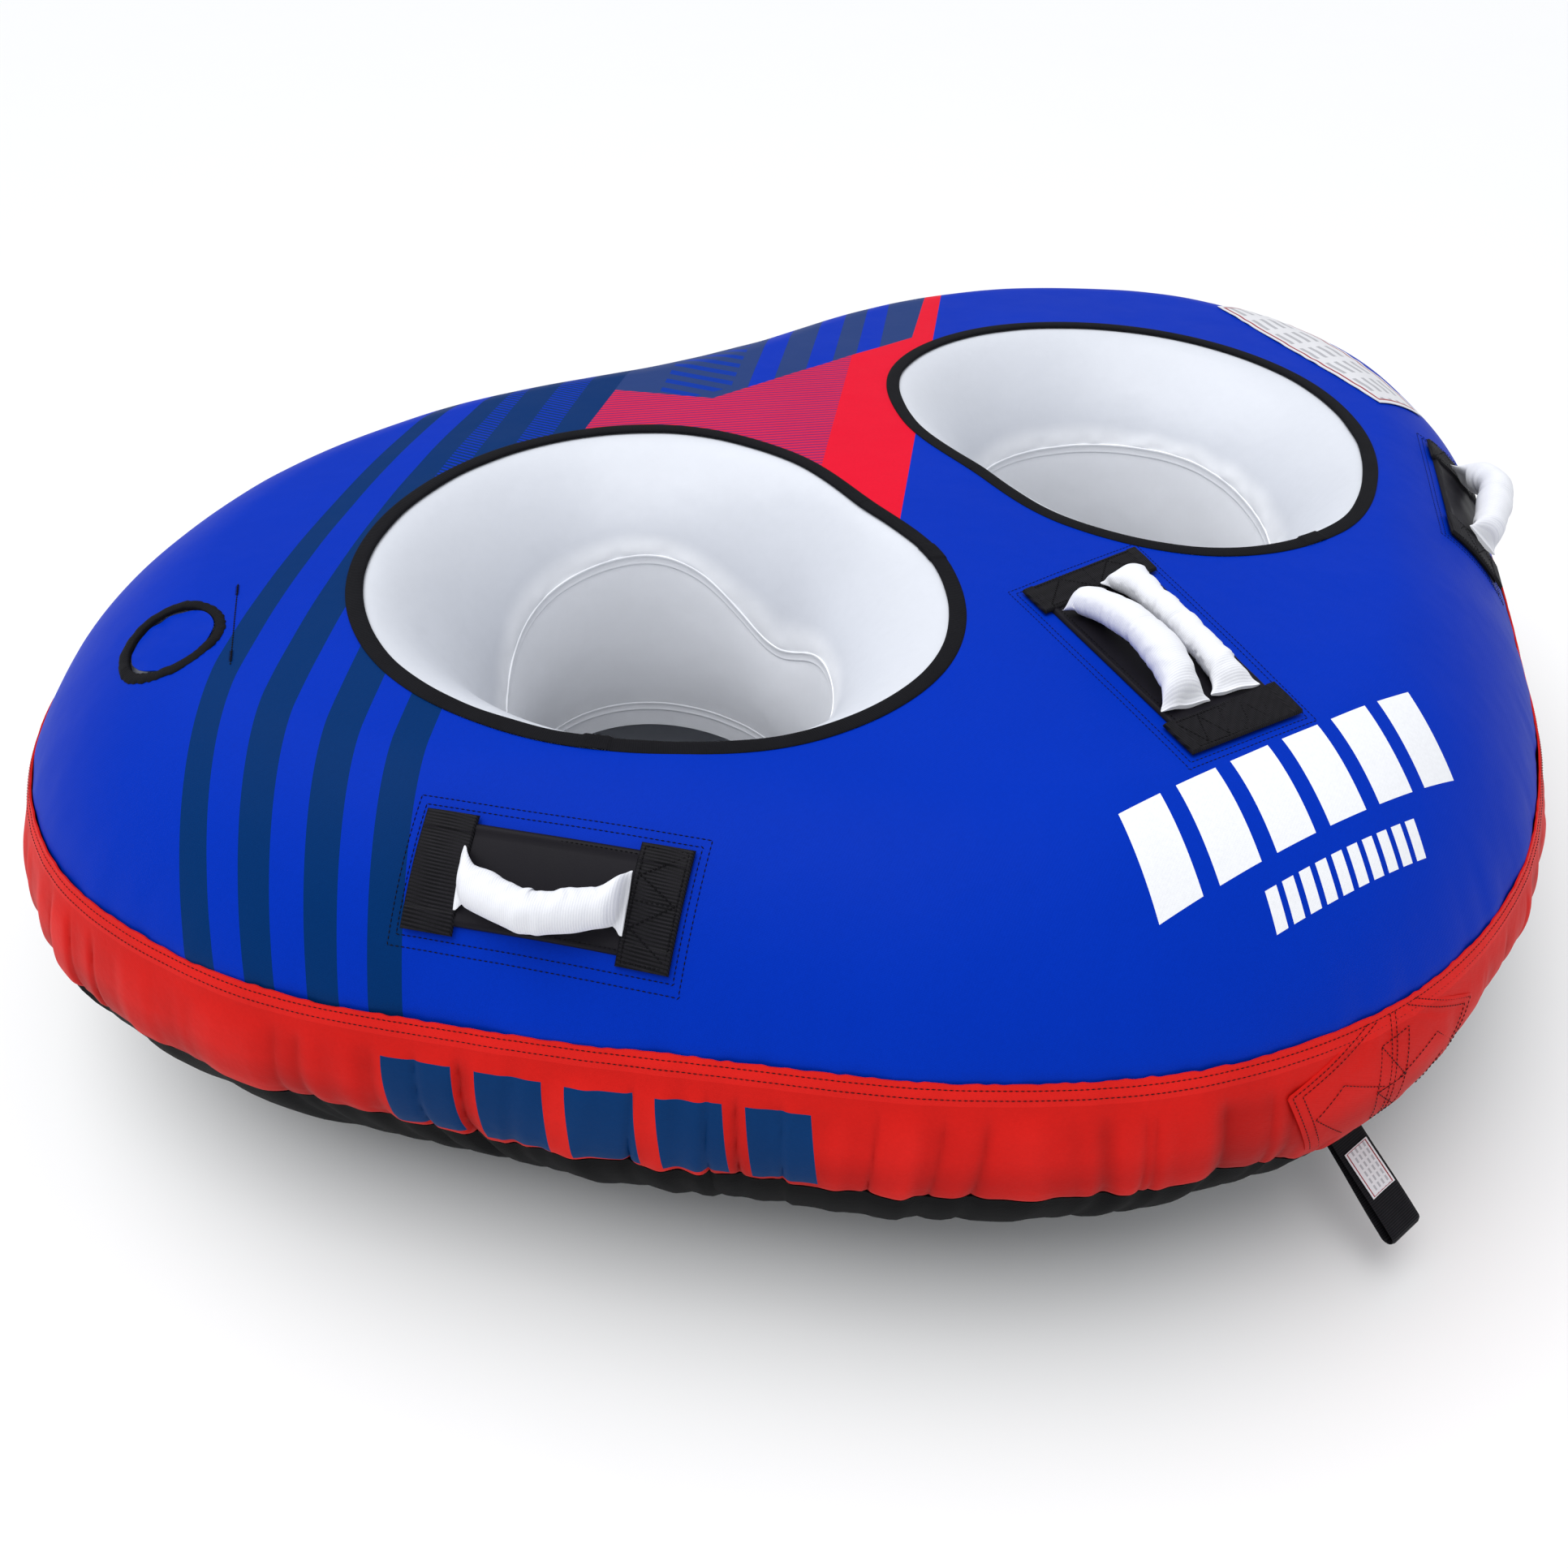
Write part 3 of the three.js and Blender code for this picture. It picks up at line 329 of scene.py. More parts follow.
class Value:
    """A number that varies over a surface. Sums with it add Math nodes to its material."""

    def __init__(self, tree, socket):
        self.tree = tree
        self.socket = socket

    def math(self, operation, *others):
        node = self.tree.nodes.new("ShaderNodeMath")
        node.operation = operation
        for slot, item in zip(node.inputs, (self, *others)):
            if isinstance(item, Value):
                self.tree.links.new(item.socket, slot)
            else:
                slot.default_value = float(item)
        return Value(self.tree, node.outputs[0])

    def __add__(self, other):
        return self.math("ADD", other)

    def __sub__(self, other):
        return self.math("SUBTRACT", other)

    def __mul__(self, other):
        return self.math("MULTIPLY", other)

    def above(self, edge):
        return self.math("GREATER_THAN", edge)

    def below(self, edge):
        return self.math("LESS_THAN", edge)

    def between(self, low, high):
        return self.above(low) * self.below(high)

    def either(self, other):
        return self.math("MAXIMUM", other)

    def outside(self):
        return self * -1 + 1

    def wave(self, pitch):
        """From 0 to 1 and back in each pitch."""
        return (self * (TURN / pitch)).math("SINE") * 0.5 + 0.5

    def part(self, pitch):
        """The share of the way through each pitch."""
        return (self * (1 / pitch)).math("FRACT")


class Finish:
    """One procedural material. Colours are linear, and bumps are in metres."""

    def __init__(self, name, colour, roughness, **sockets):
        self.material = bpy.data.materials.new(name)
        self.material.use_nodes = True
        self.tree = self.material.node_tree
        self.shader = self.tree.nodes["Principled BSDF"]
        self.shader.inputs["Roughness"].default_value = roughness
        self.roughness = roughness
        for socket, value in sockets.items():
            self.shader.inputs[socket.replace("_", " ")].default_value = value
        self.colour = (*colour, 1)
        self.height = None
        self.coordinates = self.tree.nodes.new("ShaderNodeTexCoord").outputs["Object"]

    def place(self):
        split = self.tree.nodes.new("ShaderNodeSeparateXYZ")
        self.tree.links.new(self.coordinates, split.inputs[0])
        return [Value(self.tree, out) for out in split.outputs]

    def attribute(self, name):
        node = self.tree.nodes.new("ShaderNodeAttribute")
        node.attribute_name = name
        return Value(self.tree, node.outputs["Fac"])

    def noise(self, size, detail=3, roughness=0.55):
        node = self.tree.nodes.new("ShaderNodeTexNoise")
        node.inputs["Scale"].default_value = 1 / size
        node.inputs["Detail"].default_value = detail
        node.inputs["Roughness"].default_value = roughness
        self.tree.links.new(self.coordinates, node.inputs["Vector"])
        return Value(self.tree, node.outputs["Fac"])

    def paint(self, mask, colour):
        """Lays a colour over what is there, where the mask is 1."""
        node = self.tree.nodes.new("ShaderNodeMix")
        node.data_type = "RGBA"
        self.tree.links.new(mask.socket, node.inputs["Factor"])
        self._fill(node.inputs["A"], self.colour)
        self._fill(node.inputs["B"], (*colour, 1))
        self.colour = node.outputs["Result"]
        return self

    def _fill(self, socket, colour):
        colours = [s for s in socket.node.inputs if s.name == socket.name and s.type == "RGBA"]
        if isinstance(colour, tuple):
            colours[0].default_value = colour
        else:
            self.tree.links.new(colour, colours[0])

    def vary(self, amount, size, detail=3):
        """Lightens and darkens the colour in patches of a size."""
        node = self.tree.nodes.new("ShaderNodeHueSaturation")
        shade = (self.noise(size, detail) - 0.5) * (2 * amount) + 1
        self.tree.links.new(shade.socket, node.inputs["Value"])
        if isinstance(self.colour, tuple):
            node.inputs["Color"].default_value = self.colour
        else:
            self.tree.links.new(self.colour, node.inputs["Color"])
        self.colour = node.outputs["Color"]
        return self

    def scuff(self, amount, size):
        """Varies the roughness in patches."""
        rough = (self.noise(size, 4) - 0.5) * (2 * amount) + self.roughness
        self.tree.links.new(rough.socket, self.shader.inputs["Roughness"])
        return self

    def bump(self, height):
        self.height = height if self.height is None else self.height + height
        return self

    def done(self):
        if isinstance(self.colour, tuple):
            self.shader.inputs["Base Color"].default_value = self.colour
        else:
            self.tree.links.new(self.colour, self.shader.inputs["Base Color"])
        if self.height is not None:
            node = self.tree.nodes.new("ShaderNodeBump")
            node.inputs["Distance"].default_value = 1
            self.tree.links.new(self.height.socket, node.inputs["Height"])
            self.tree.links.new(node.outputs["Normal"], self.shader.inputs["Normal"])
        return self.material


BLUE = (0.0, 0.028, 0.42)
NAVY = (0.0, 0.027, 0.13)
DARK_BLUE = (0.018, 0.045, 0.17)
FAN_BLUE = (0.0, 0.033, 0.33)
BRIGHT_RED = (0.72, 0.006, 0.028)
HATCHED_RED = (0.62, 0.016, 0.065)
HATCH_PURPLE = (0.20, 0.02, 0.13)
BAND_RED = (0.60, 0.012, 0.009)
# A lighter red for the hem: partly its doubled cloth, partly a painted highlight on its upward-facing top.
HEM_AND_HIGHLIGHT_RED = (0.74, 0.018, 0.014)
LOW_RED = (0.36, 0.007, 0.006)
# Painted shade for the band's fold valleys, then a painted highlight for the fold ridges.
FOLD_SHADE_RED = (0.17, 0.004, 0.004)
RIDGE_HIGHLIGHT_RED = (0.84, 0.026, 0.02)
BAND_NAVY = (0.002, 0.033, 0.13)
BLACK = (0.0025, 0.0025, 0.003)
WHITE = (0.67, 0.695, 0.755)
# A lighter copy of the film's white: painted light for the shaded well wall below each upper weld.
WALL_LIGHTENED_WHITE = (0.93, 0.945, 0.985)
PRINT_WHITE = (0.82, 0.83, 0.86)

# The four navy stripes: three plan points, in millimetres, on each one's left and right edge.
STRIPES = [
    ([(-773, -182), (-650, 23), (-444, 259)], [(-757, -205), (-619, 28), (-413, 263)]),
    ([(-740, -226), (-594, 11), (-338, 296)], [(-724, -247), (-569, -5), (-301, 300)]),
    ([(-706, -268), (-565, -51), (-272, 303)], [(-689, -288), (-564, -103), (-227, 304)]),
    ([(-673, -305), (-555, -138), (-186, 302)], [(-653, -322), (-543, -170), (-155, 285)]),
]
HATCH_START = 190 * MM  # behind this line the gaps beside the third stripe are finely hatched
HATCH_PITCH = 6.5 * MM
GRIP_RIB = 1.7 * MM
WEBBING_RIB = 2.0 * MM
BLACK_WEAVE = 2.2 * MM


def curve_at(y, plan_points):
    """The x of the smooth line through three plan points, at a given y."""
    x_at, y_at = np.array(plan_points, float).T * MM
    square, slope, start = np.polyfit(y_at, x_at, 2)
    return (y * square + slope) * y + start


def straight_at(y, a, b):
    """The x of the straight line through two plan points in millimetres, at a given y."""
    slope = (b[0] - a[0]) / (b[1] - a[1])
    return y * slope + (a[0] - a[1] * slope) * MM


def height_at(x, a, b):
    """The y of the straight line through two plan points in millimetres, at a given x."""
    slope = (b[1] - a[1]) / (b[0] - a[0])
    return x * slope + (a[1] - a[0] * slope) * MM


def print_stripes(finish, x, y):
    edges = [(curve_at(y, left), curve_at(y, right)) for left, right in STRIPES]
    hatch = (x + y * 0.6).part(HATCH_PITCH).above(0.45) * y.above(HATCH_START)
    for near, far in ((1, 2), (2, 3)):
        gap = (x - edges[near][1]).above(0) * (x - edges[far][0]).below(0)
        finish.paint(gap * hatch, NAVY)
    for left, right in edges:
        finish.paint((x - left).above(0) * (x - right).below(0), NAVY)


def print_rear(finish, x, y):
    """The red field between the wells, with dark blue and bright blue bands behind it."""
    rising = height_at(x, (-227, 212), (-152, 287))
    falling = height_at(x, (-152, 287), (-73, 208))
    level = height_at(x, (-73, 207), (229, 235))
    strip = height_at(x, (229, 235), (305, 314))
    red_top = rising.math("MINIMUM", falling.either(level).either(strip))
    inside = x.above(-300 * MM) * y.above(-130 * MM)
    before_edge = (x - straight_at(y, (-57, -120), (332, 311))).below(0)
    behind_red = (y - red_top).above(0)
    right_of_stripe = (x - curve_at(y, STRIPES[3][1])).above(0)
    behind = behind_red * before_edge * right_of_stripe * y.above(150 * MM)
    finish.paint(behind, DARK_BLUE)
    slid = x - y * 0.87 + 0.87 * 212 * MM
    bands = [(-23, 12), (55, 92), (126, 160)]
    for low, high in bands:
        finish.paint(behind * slid.between(low * MM, high * MM), BLUE)
    fan = (y * 0.55 + x * 0.9).part(26 * MM).above(0.55) * slid.between(-150 * MM, -48 * MM)
    short = y.between(222 * MM, 330 * MM)
    finish.paint(behind * fan * short, FAN_BLUE)
    red = inside * before_edge * behind_red.outside()
    hatched = (x - straight_at(y, (-68, 0), (133, 227))).below(0)
    lines = (x * 0.45 + y).part(HATCH_PITCH).above(0.62)
    finish.paint(red, BRIGHT_RED)
    finish.paint(red * hatched, HATCHED_RED)
    finish.paint(red * hatched * lines, HATCH_PURPLE)


def print_front(finish, x, y):
    """Plain slanted white bars on the nose."""
    down = y * -1 - 540 * MM - x * 0.05
    slid = x + down * 0.25
    bars = slid.between(-167 * MM, 163 * MM) * (slid + 167 * MM).part(55 * MM).below(0.72)
    finish.paint(bars * down.between(0, 72 * MM), PRINT_WHITE)
    lower = slid.between(-78 * MM, 85 * MM) * (slid + 78 * MM).part(16.6 * MM).below(0.66)
    finish.paint(lower * down.between(88 * MM, 112 * MM), PRINT_WHITE)


def deck_cloth():
    finish = Finish("blue_nylon", BLUE, 0.5, Specular_IOR_Level=0.035)
    x, y, z = finish.place()
    print_stripes(finish, x, y)
    print_rear(finish, x, y)
    print_front(finish, x, y)
    finish.vary(0.06, 180 * MM).vary(0.05, 3 * MM, 1).scuff(0.05, 40 * MM)
    twill = (x + y * 0.7 + z).wave(1.8 * MM) * (y - x * 0.5).wave(2.3 * MM)
    finish.bump(twill * (0.05 * MM)).bump(finish.noise(60 * MM, 2) * (1.2 * MM))
    return finish.done()


def band_cloth():
    """Red, darker low down, with painted shade in the folds and a painted highlight on their ridges, a hem
    lighter partly as its doubled cloth and partly as a painted highlight, and plain slanted navy bars on the
    left of the nose.
    """
    finish = Finish("red_nylon", BAND_RED, 0.5, Specular_IOR_Level=0.045)
    bearing, height = finish.attribute("bearing"), finish.attribute("height")
    slid = bearing + (height - 0.24) * 0.18
    bars = slid.between(-1.118, -0.652) * (slid + 1.118).part(0.0935).below(0.74)
    fold, ridge = finish.attribute("fold"), finish.attribute("ridge")
    # The hem is lighter partly as doubled cloth and partly as a painted highlight.
    finish.paint(height.above(288 * MM) * 0.6, HEM_AND_HIGHLIGHT_RED)
    finish.paint((height * -22 + 5.4).math("MAXIMUM", 0).math("MINIMUM", 0.5), LOW_RED)
    # Painted shade in the fold valleys and a painted highlight on the fold ridges.
    finish.paint(fold * 0.75, FOLD_SHADE_RED).paint(ridge * 0.35, RIDGE_HIGHLIGHT_RED)
    finish.paint(bars * height.between(206 * MM, 272 * MM), BAND_NAVY)
    finish.vary(0.14, 70 * MM).vary(0.05, 3 * MM, 1).scuff(0.06, 30 * MM)
    finish.bump(finish.noise(14 * MM, 3) * (0.5 * MM))
    finish.bump((height + bearing * 0.3).wave(1.7 * MM) * (0.04 * MM))
    return finish.done()


def black_cloth():
    finish = Finish("black_nylon", BLACK, 0.62, Specular_IOR_Level=0.03)
    x, y, z = finish.place()
    weave = (x + z).wave(BLACK_WEAVE) * (y - z).wave(BLACK_WEAVE)
    finish.vary(0.25, 60 * MM).vary(0.12, 4 * MM).bump(weave * (0.12 * MM))
    return finish.done()


def bladder_film():
    finish = Finish("white_film", WHITE, 0.33, Specular_IOR_Level=0.4)
    # The well wall and weld ridges are painted lighter than the funnel, as painted light in the shaded well.
    finish.paint(finish.attribute("wall_painted_light"), WALL_LIGHTENED_WHITE)
    finish.vary(0.03, 150 * MM).vary(0.02, 9 * MM).scuff(0.06, 25 * MM)
    finish.bump(finish.noise(90 * MM, 3) * (2.2 * MM)).bump(finish.noise(1.5 * MM, 1) * (0.02 * MM))
    return finish.done()


def tape():
    finish = Finish("binding_tape", (0.006, 0.006, 0.008), 0.7, Specular_IOR_Level=0.08)
    along = finish.attribute("along")
    finish.vary(0.3, 30 * MM).vary(0.2, 3 * MM).bump(along.wave(1.9 * MM) * (0.16 * MM))
    finish.bump(finish.noise(2.5 * MM, 2) * (0.15 * MM))
    return finish.done()


def neoprene():
    finish = Finish("neoprene", (0.009, 0.008, 0.0115), 0.5, Specular_IOR_Level=0.11)
    finish.vary(0.2, 40 * MM).scuff(0.07, 20 * MM).bump(finish.noise(1.2 * MM, 2) * (0.05 * MM))
    return finish.done()


def webbing():
    finish = Finish("webbing", (0.0045, 0.0045, 0.0055), 0.55, Specular_IOR_Level=0.09)
    along, across = finish.attribute("along"), finish.attribute("across")
    # The lighter colour is a painted highlight on the rib crests.
    finish.paint(along.wave(WEBBING_RIB).above(0.45), (0.0125, 0.0115, 0.0145))
    finish.vary(0.35, 12 * MM).vary(0.25, 2 * MM)
    finish.bump(across.wave(1.6 * MM) * along.wave(WEBBING_RIB) * (0.10 * MM))
    return finish.done()


def grip_cloth():
    finish = Finish("grip_fabric", (0.82, 0.83, 0.87), 0.8, Specular_IOR_Level=0.1)
    ribs = finish.attribute("along").wave(GRIP_RIB)
    # Painted shade in the grooves between the ribs.
    finish.paint(ribs.below(0.3), (0.76, 0.77, 0.82))
    finish.vary(0.03, 15 * MM).vary(0.03, 2 * MM).bump(ribs * (0.10 * MM))
    finish.bump(finish.noise(1.3 * MM, 2) * (0.08 * MM))
    return finish.done()


def thread():
    finish = Finish("black_thread", (0.003, 0.0025, 0.004), 0.6, Specular_IOR_Level=0.15)
    return finish.vary(0.3, 2 * MM).bump(finish.noise(0.8 * MM, 1) * (0.05 * MM)).done()


def plastic(name, colour, roughness):
    finish = Finish(name, colour, roughness, Specular_IOR_Level=0.45)
    finish.vary(0.06, 12 * MM).scuff(0.08, 8 * MM).bump(finish.noise(0.9 * MM, 2) * (0.03 * MM))
    return finish.done()


def label_cloth():
    """White vinyl with a thin printed frame and plain grey bars."""
    finish = Finish("label_fabric", (0.72, 0.72, 0.75), 0.38, Specular_IOR_Level=0.4)
    along, across = finish.attribute("along"), finish.attribute("across")
    frame_line = along.between(0.02, 0.98) * across.between(0.06, 0.94)
    inner = along.between(0.032, 0.968) * across.between(0.10, 0.90)
    finish.paint(frame_line * inner.outside(), (0.32, 0.03, 0.04))
    rows = (across - 0.16).part(0.175).below(0.42) * across.between(0.16, 0.86)
    blocks = along.part(0.155).between(0.16, 0.86)
    finish.paint(rows * blocks * inner, (0.42, 0.42, 0.45))
    finish.vary(0.05, 20 * MM).bump(finish.noise(6 * MM, 2) * (0.15 * MM))
    return finish.done()


DECK_CLOTH = deck_cloth()
BAND_CLOTH = band_cloth()
BLACK_CLOTH = black_cloth()
FILM = bladder_film()
TAPE = tape()
NEOPRENE = neoprene()
WEBBING = webbing()
GRIP_CLOTH = grip_cloth()
BLACK_THREAD = thread()
LABEL = label_cloth()
VALVE_BOSS = plastic("valve_boss", (0.48, 0.50, 0.55), 0.36)
VALVE_PLASTIC = plastic("valve_plastic", (0.012, 0.012, 0.014), 0.34)
RUBBER = plastic("rubber", (0.01, 0.01, 0.01), 0.7)
ZIP_PLASTIC = plastic("zip_plastic", (0.013, 0.013, 0.015), 0.3)


def mark(thing, name, values):
    """Gives each point of a mesh a number that its material reads."""
    layer = thing.data.attributes.new(name, "FLOAT", "POINT")
    layer.data.foreach_set("value", np.asarray(values, np.float32).ravel())


def corners_of(thing):
    flat = np.empty(len(thing.data.vertices) * 3)
    thing.data.vertices.foreach_get("co", flat)
    return flat.reshape(-1, 3)


def mark_edge(thing):
    """Bearing and height of each point, for prints that run along the band."""
    place = corners_of(thing)
    mark(thing, "bearing", np.arctan2(place[:, 0], -place[:, 1]))
    mark(thing, "height", place[:, 2])


# ----------------------------------------------------------------------------------------------------------
# Columns from each well's mouth out to where the edge starts to fall, or to the ridge between the wells
# ----------------------------------------------------------------------------------------------------------

OUTLINE_COLUMNS = 300
RIDGE_COLUMNS = 44


class Columns:
    """One half of the deck, as columns of plan points. All arrays are (columns, 2)."""

    def __init__(self):
        self.bearings = np.linspace(0, math.pi, OUTLINE_COLUMNS + 1)
        x, y = polar(self.bearings, outline_radius(self.bearings) - EDGE_RUN)
        x[[0, -1]] = 0
        ridge_y = np.linspace(y[-1], y[0], RIDGE_COLUMNS + 1)[1:-1]
        ends = np.stack([np.append(x, 0 * ridge_y), np.append(y, ridge_y)], -1)
        angle = np.arctan2(*(ends - WELL_CENTRE).T[::-1])
        self.ends = ends
        self.ray = np.stack([np.cos(angle), np.sin(angle)], -1)
        self.mouth = WELL_CENTRE + self.ray * mouth_radius(angle)[:, None]
        throat = 1 / np.hypot(self.ray[:, 0] / THROAT_HALF_WIDTH, self.ray[:, 1] / THROAT_HALF_LENGTH)
        self.throat = WELL_CENTRE + self.ray * throat[:, None]
        self.foot = lerp(self.throat, self.mouth, WELL_FLOOR_SPREAD)
        self.angle = angle


COLUMNS = Columns()


def for_side(rows, side):
    """The rows as they are for the +X half, or mirrored for the -X half."""
    return np.asarray(rows) * np.array([side, 1, 1])


def deck_rows(shares, offset_at, side, start=GAP):
    """Rows from the mouth (share 0) to the columns' ends (share 1). offset_at takes plan coordinates."""
    rows = []
    for share in shares:
        plan = lerp(COLUMNS.mouth, COLUMNS.ends, share) + COLUMNS.ray * start * (share == 0)
        x, y = plan.T
        rows.append(for_side(on_deck(x, y, offset_at(side * x, y) + 0 * x), side))
    return rows


def edge_rows(angles_at, shares, offset_at, bearings):
    """Rows along the outline. angles_at(bearing) gives the first and last edge angle."""
    first, last = angles_at(bearings)
    return [
        on_edge(bearings, lerp(first, last, share), offset_at(bearings, share)) for share in shares
    ]


FULL_TURN = np.linspace(0, TURN, 720, endpoint=False)
FINE_TURN = np.linspace(0, TURN, 2160, endpoint=False)


# ----------------------------------------------------------------------------------------------------------
# Cover
# ----------------------------------------------------------------------------------------------------------

DECK_SHARES = np.linspace(0, 1, 26)
FALL_SHARES = np.linspace(0, 1, 34)


def deck_ease(x, y):
    """Slight hollows and swells of the taut deck."""
    return 0.9 * MM * patchy(x, y, 130 * MM, 3) + 0.35 * MM * patchy(x, y, 45 * MM, 4)


def pucker(bearing, share):
    """Short creases that the top seam pulls into the deck's edge, and the tuck into the seam itself."""
    near = ease(share, 0.60, 1.0)
    creases = 1.0 * MM * around(bearing, 170, 11) + 0.45 * MM * around(bearing, 400, 12)
    broad = 1.0 * MM * around(bearing, 46, 13) * ease(share, 0.0, 0.6)
    tuck = -2.0 * MM * ease(share, 0.97, 1.0)
    return creases * near + broad + tuck


TOP_CLOTH_END = edge_angle(TOP_SEAM_HEIGHT - 2 * MM)


def cloth_lift(x, y):
    """How far the cloth stands above the smooth deck at a plan point, out to the top seam."""
    bearing = np.arctan2(x, -y)
    inset = outline_radius(bearing) - np.hypot(x, y)
    angle = np.arccos(np.clip(1 - inset / EDGE_RUN, 0, 1) ** (EDGE_POWER / 2))
    share = np.clip((math.pi / 2 - angle) / (math.pi / 2 - TOP_CLOTH_END), 0, 1)
    return deck_ease(x, y) * (1 - share) + pucker(bearing, share)


def cloth_underside(x, y):
    return cloth_lift(x, y) - COVER_THICKNESS


def top_cloth_edge(thickness, side):
    rows = []
    for share in FALL_SHARES:
        angle = lerp(math.pi / 2, TOP_CLOTH_END, share) + 0 * COLUMNS.bearings
        surface = edge_surface(COLUMNS.bearings, angle)
        lift = cloth_lift(side * surface[:, 0], surface[:, 1]) - thickness
        rows.append(for_side(on_edge(COLUMNS.bearings, angle, lift), side))
    return rows


def top_cloth():
    shell = Shell()
    for side in (1, -1):
        outer_deck = shell.add(deck_rows(DECK_SHARES, cloth_lift, side))
        inner_deck = shell.add(deck_rows(DECK_SHARES, cloth_underside, side))
        outer_edge = shell.add(top_cloth_edge(0, side))
        inner_edge = shell.add(top_cloth_edge(COVER_THICKNESS, side))
        for rows in (outer_deck, inner_deck, [outer_deck[0], inner_deck[0]]):
            shell.join(rows, closed=True)
        for rows in (outer_edge, inner_edge, [outer_edge[-1], inner_edge[-1]]):
            shell.join(rows)
    thing = shell.piece("cover_top_cloth", DECK_CLOTH, weld=2e-5)
    valve_hole(thing, 44 * MM, -30 * MM)
    settle(thing, "tube", "blue_nylon", "cover_top_panel")


def gathers(bearing, share):
    """The band's vertical folds, which deepen towards its gathered lower edge."""
    from_front = np.abs(from_nose(bearing))
    calm = (1 - 0.8 * np.exp(-((from_front / 0.2) ** 2))) * (1 - 0.85 * ease(from_front, 2.3, 2.65))
    grow = (0.7 * ease(share, 0.14, 0.34) + 0.5 * ease(share, 0.55, 0.95)) * calm
    patch = 0.9 + 0.35 * around(bearing, 30, 24)
    slant = bearing + 0.02 * around(bearing, 60, 25) * share
    broad = 2.4 * MM * around(slant, 110, 21) * grow * patch
    fine = 2.2 * MM * around(slant, 330, 22) * (0.12 * calm + grow) * patch
    sharp = -4.4 * MM * (1 - np.abs(around(slant, 170, 23))) ** 5 * grow * patch
    return np.maximum(broad + fine + sharp, -7 * MM)


def low_edge_wobble(bearing):
    return 2.8 * MM * around(bearing, 120, 33) + 1.6 * MM * around(bearing, 330, 34)


def mark_folds(thing):
    """How deep each point of the band lies in a fold, and how high it stands on one, for the painted shade in
    the folds and the painted highlight on the ridges.
    """
    place = corners_of(thing)
    bearing = np.arctan2(place[:, 0], -place[:, 1])
    top, low = edge_angle(TOP_SEAM_HEIGHT), edge_angle(low_seam_height(bearing))
    share = np.clip((top - edge_angle(np.minimum(place[:, 2], TOP_SEAM_HEIGHT))) / (top - low), 0, 1)
    height = gathers(bearing % TURN, share)
    mark(thing, "fold", np.clip(-height / (5 * MM), 0, 1))
    mark(thing, "ridge", np.clip(height / (3 * MM), 0, 1))


def band_cloth_piece():
    shares = np.linspace(0, 1, 34)
    ragged = 0.6 * MM * around(FINE_TURN, 700, 31) + 0.8 * MM * around(FINE_TURN, 90, 32)
    uneven = low_edge_wobble(FINE_TURN)

    def angles(bearings):
        top = edge_angle(TOP_SEAM_HEIGHT + 1.5 * MM + ragged)
        return top, edge_angle(low_seam_height(bearings) + uneven)

    def offset_at(thickness):
        def offset(bearings, share):
            hem = 1.3 * MM * (1 - ease(share, 0.10, 0.13))
            dents = sum(np.exp(-((share - place) / 0.015) ** 2) for place in (0.03, 0.09))
            tuck = -2.5 * MM * ease(share, 0.95, 1.0)
            return 0.6 * MM + hem - 0.5 * MM * dents + tuck + gathers(bearings, share) - thickness
        return offset

    shell = Shell()
    outer = edge_rows(angles, shares, offset_at(0), FINE_TURN)
    inner = edge_rows(angles, shares, offset_at(COVER_THICKNESS), FINE_TURN)
    shell.sheet(outer, inner, closed=True)
    thing = shell.piece("cover_band_cloth", BAND_CLOTH)
    mark_edge(thing)
    mark_folds(thing)
    settle(thing, "tube", "red_nylon", "cover_side_band")


def lower_cloth():
    shares = np.linspace(0, 1, 20)
    uneven = low_edge_wobble(FULL_TURN)

    def angles(bearings):
        first = edge_angle(low_seam_height(bearings) + uneven - 1 * MM)
        return first, edge_angle(BOTTOM_PANEL_RISE) + 0 * bearings

    def offset_at(thickness):
        def offset(bearings, share):
            folds = gathers(bearings, 1 - share)
            return folds * (1 - ease(share, 0.5, 1)) - 1.2 * MM * (1 - ease(share, 0, 0.08)) - thickness
        return offset

    shell = Shell()
    outer = edge_rows(angles, shares, offset_at(0), FULL_TURN)
    inner = edge_rows(angles, shares, offset_at(COVER_THICKNESS), FULL_TURN)
    shell.sheet(outer, inner, closed=True)
    thing = shell.piece("cover_lower_cloth", BLACK_CLOTH)
    settle(thing, "tube", "black_nylon", "cover_lower_band")


def bottom_cloth():
    shares = np.linspace(0, 1, 18)
    start = edge_angle(BOTTOM_PANEL_RISE) - 0.002

    def face(lift):
        rim = on_edge(FULL_TURN, start, -lift)
        flat = on_edge(FULL_TURN, -math.pi / 2, -lift)
        rows = [rim]
        for share in shares[:-1]:
            x, y = flat[:, 0] * (1 - share), flat[:, 1] * (1 - share)
            sag = 0.35 * MM * (1 + patchy(x, y, 70 * MM, 41)) * ease(share, 0, 0.1)
            rows.append(points(x, y, lift + sag))
        rows.append(np.repeat([[0, 0, lift + 0.4 * MM]], len(FULL_TURN), axis=0))
        return rows

    shell = Shell()
    outer, inner = shell.add(face(0)), shell.add(face(COVER_THICKNESS))
    for rows in (outer, inner, [outer[0], inner[0]]):
        shell.join(rows, closed=True)
    thing = shell.piece("cover_bottom_cloth", BLACK_CLOTH)
    settle(thing, "tube", "black_nylon", "cover_bottom_panel")


# ----------------------------------------------------------------------------------------------------------
# Bladder, welds and the tape round each mouth
# ----------------------------------------------------------------------------------------------------------


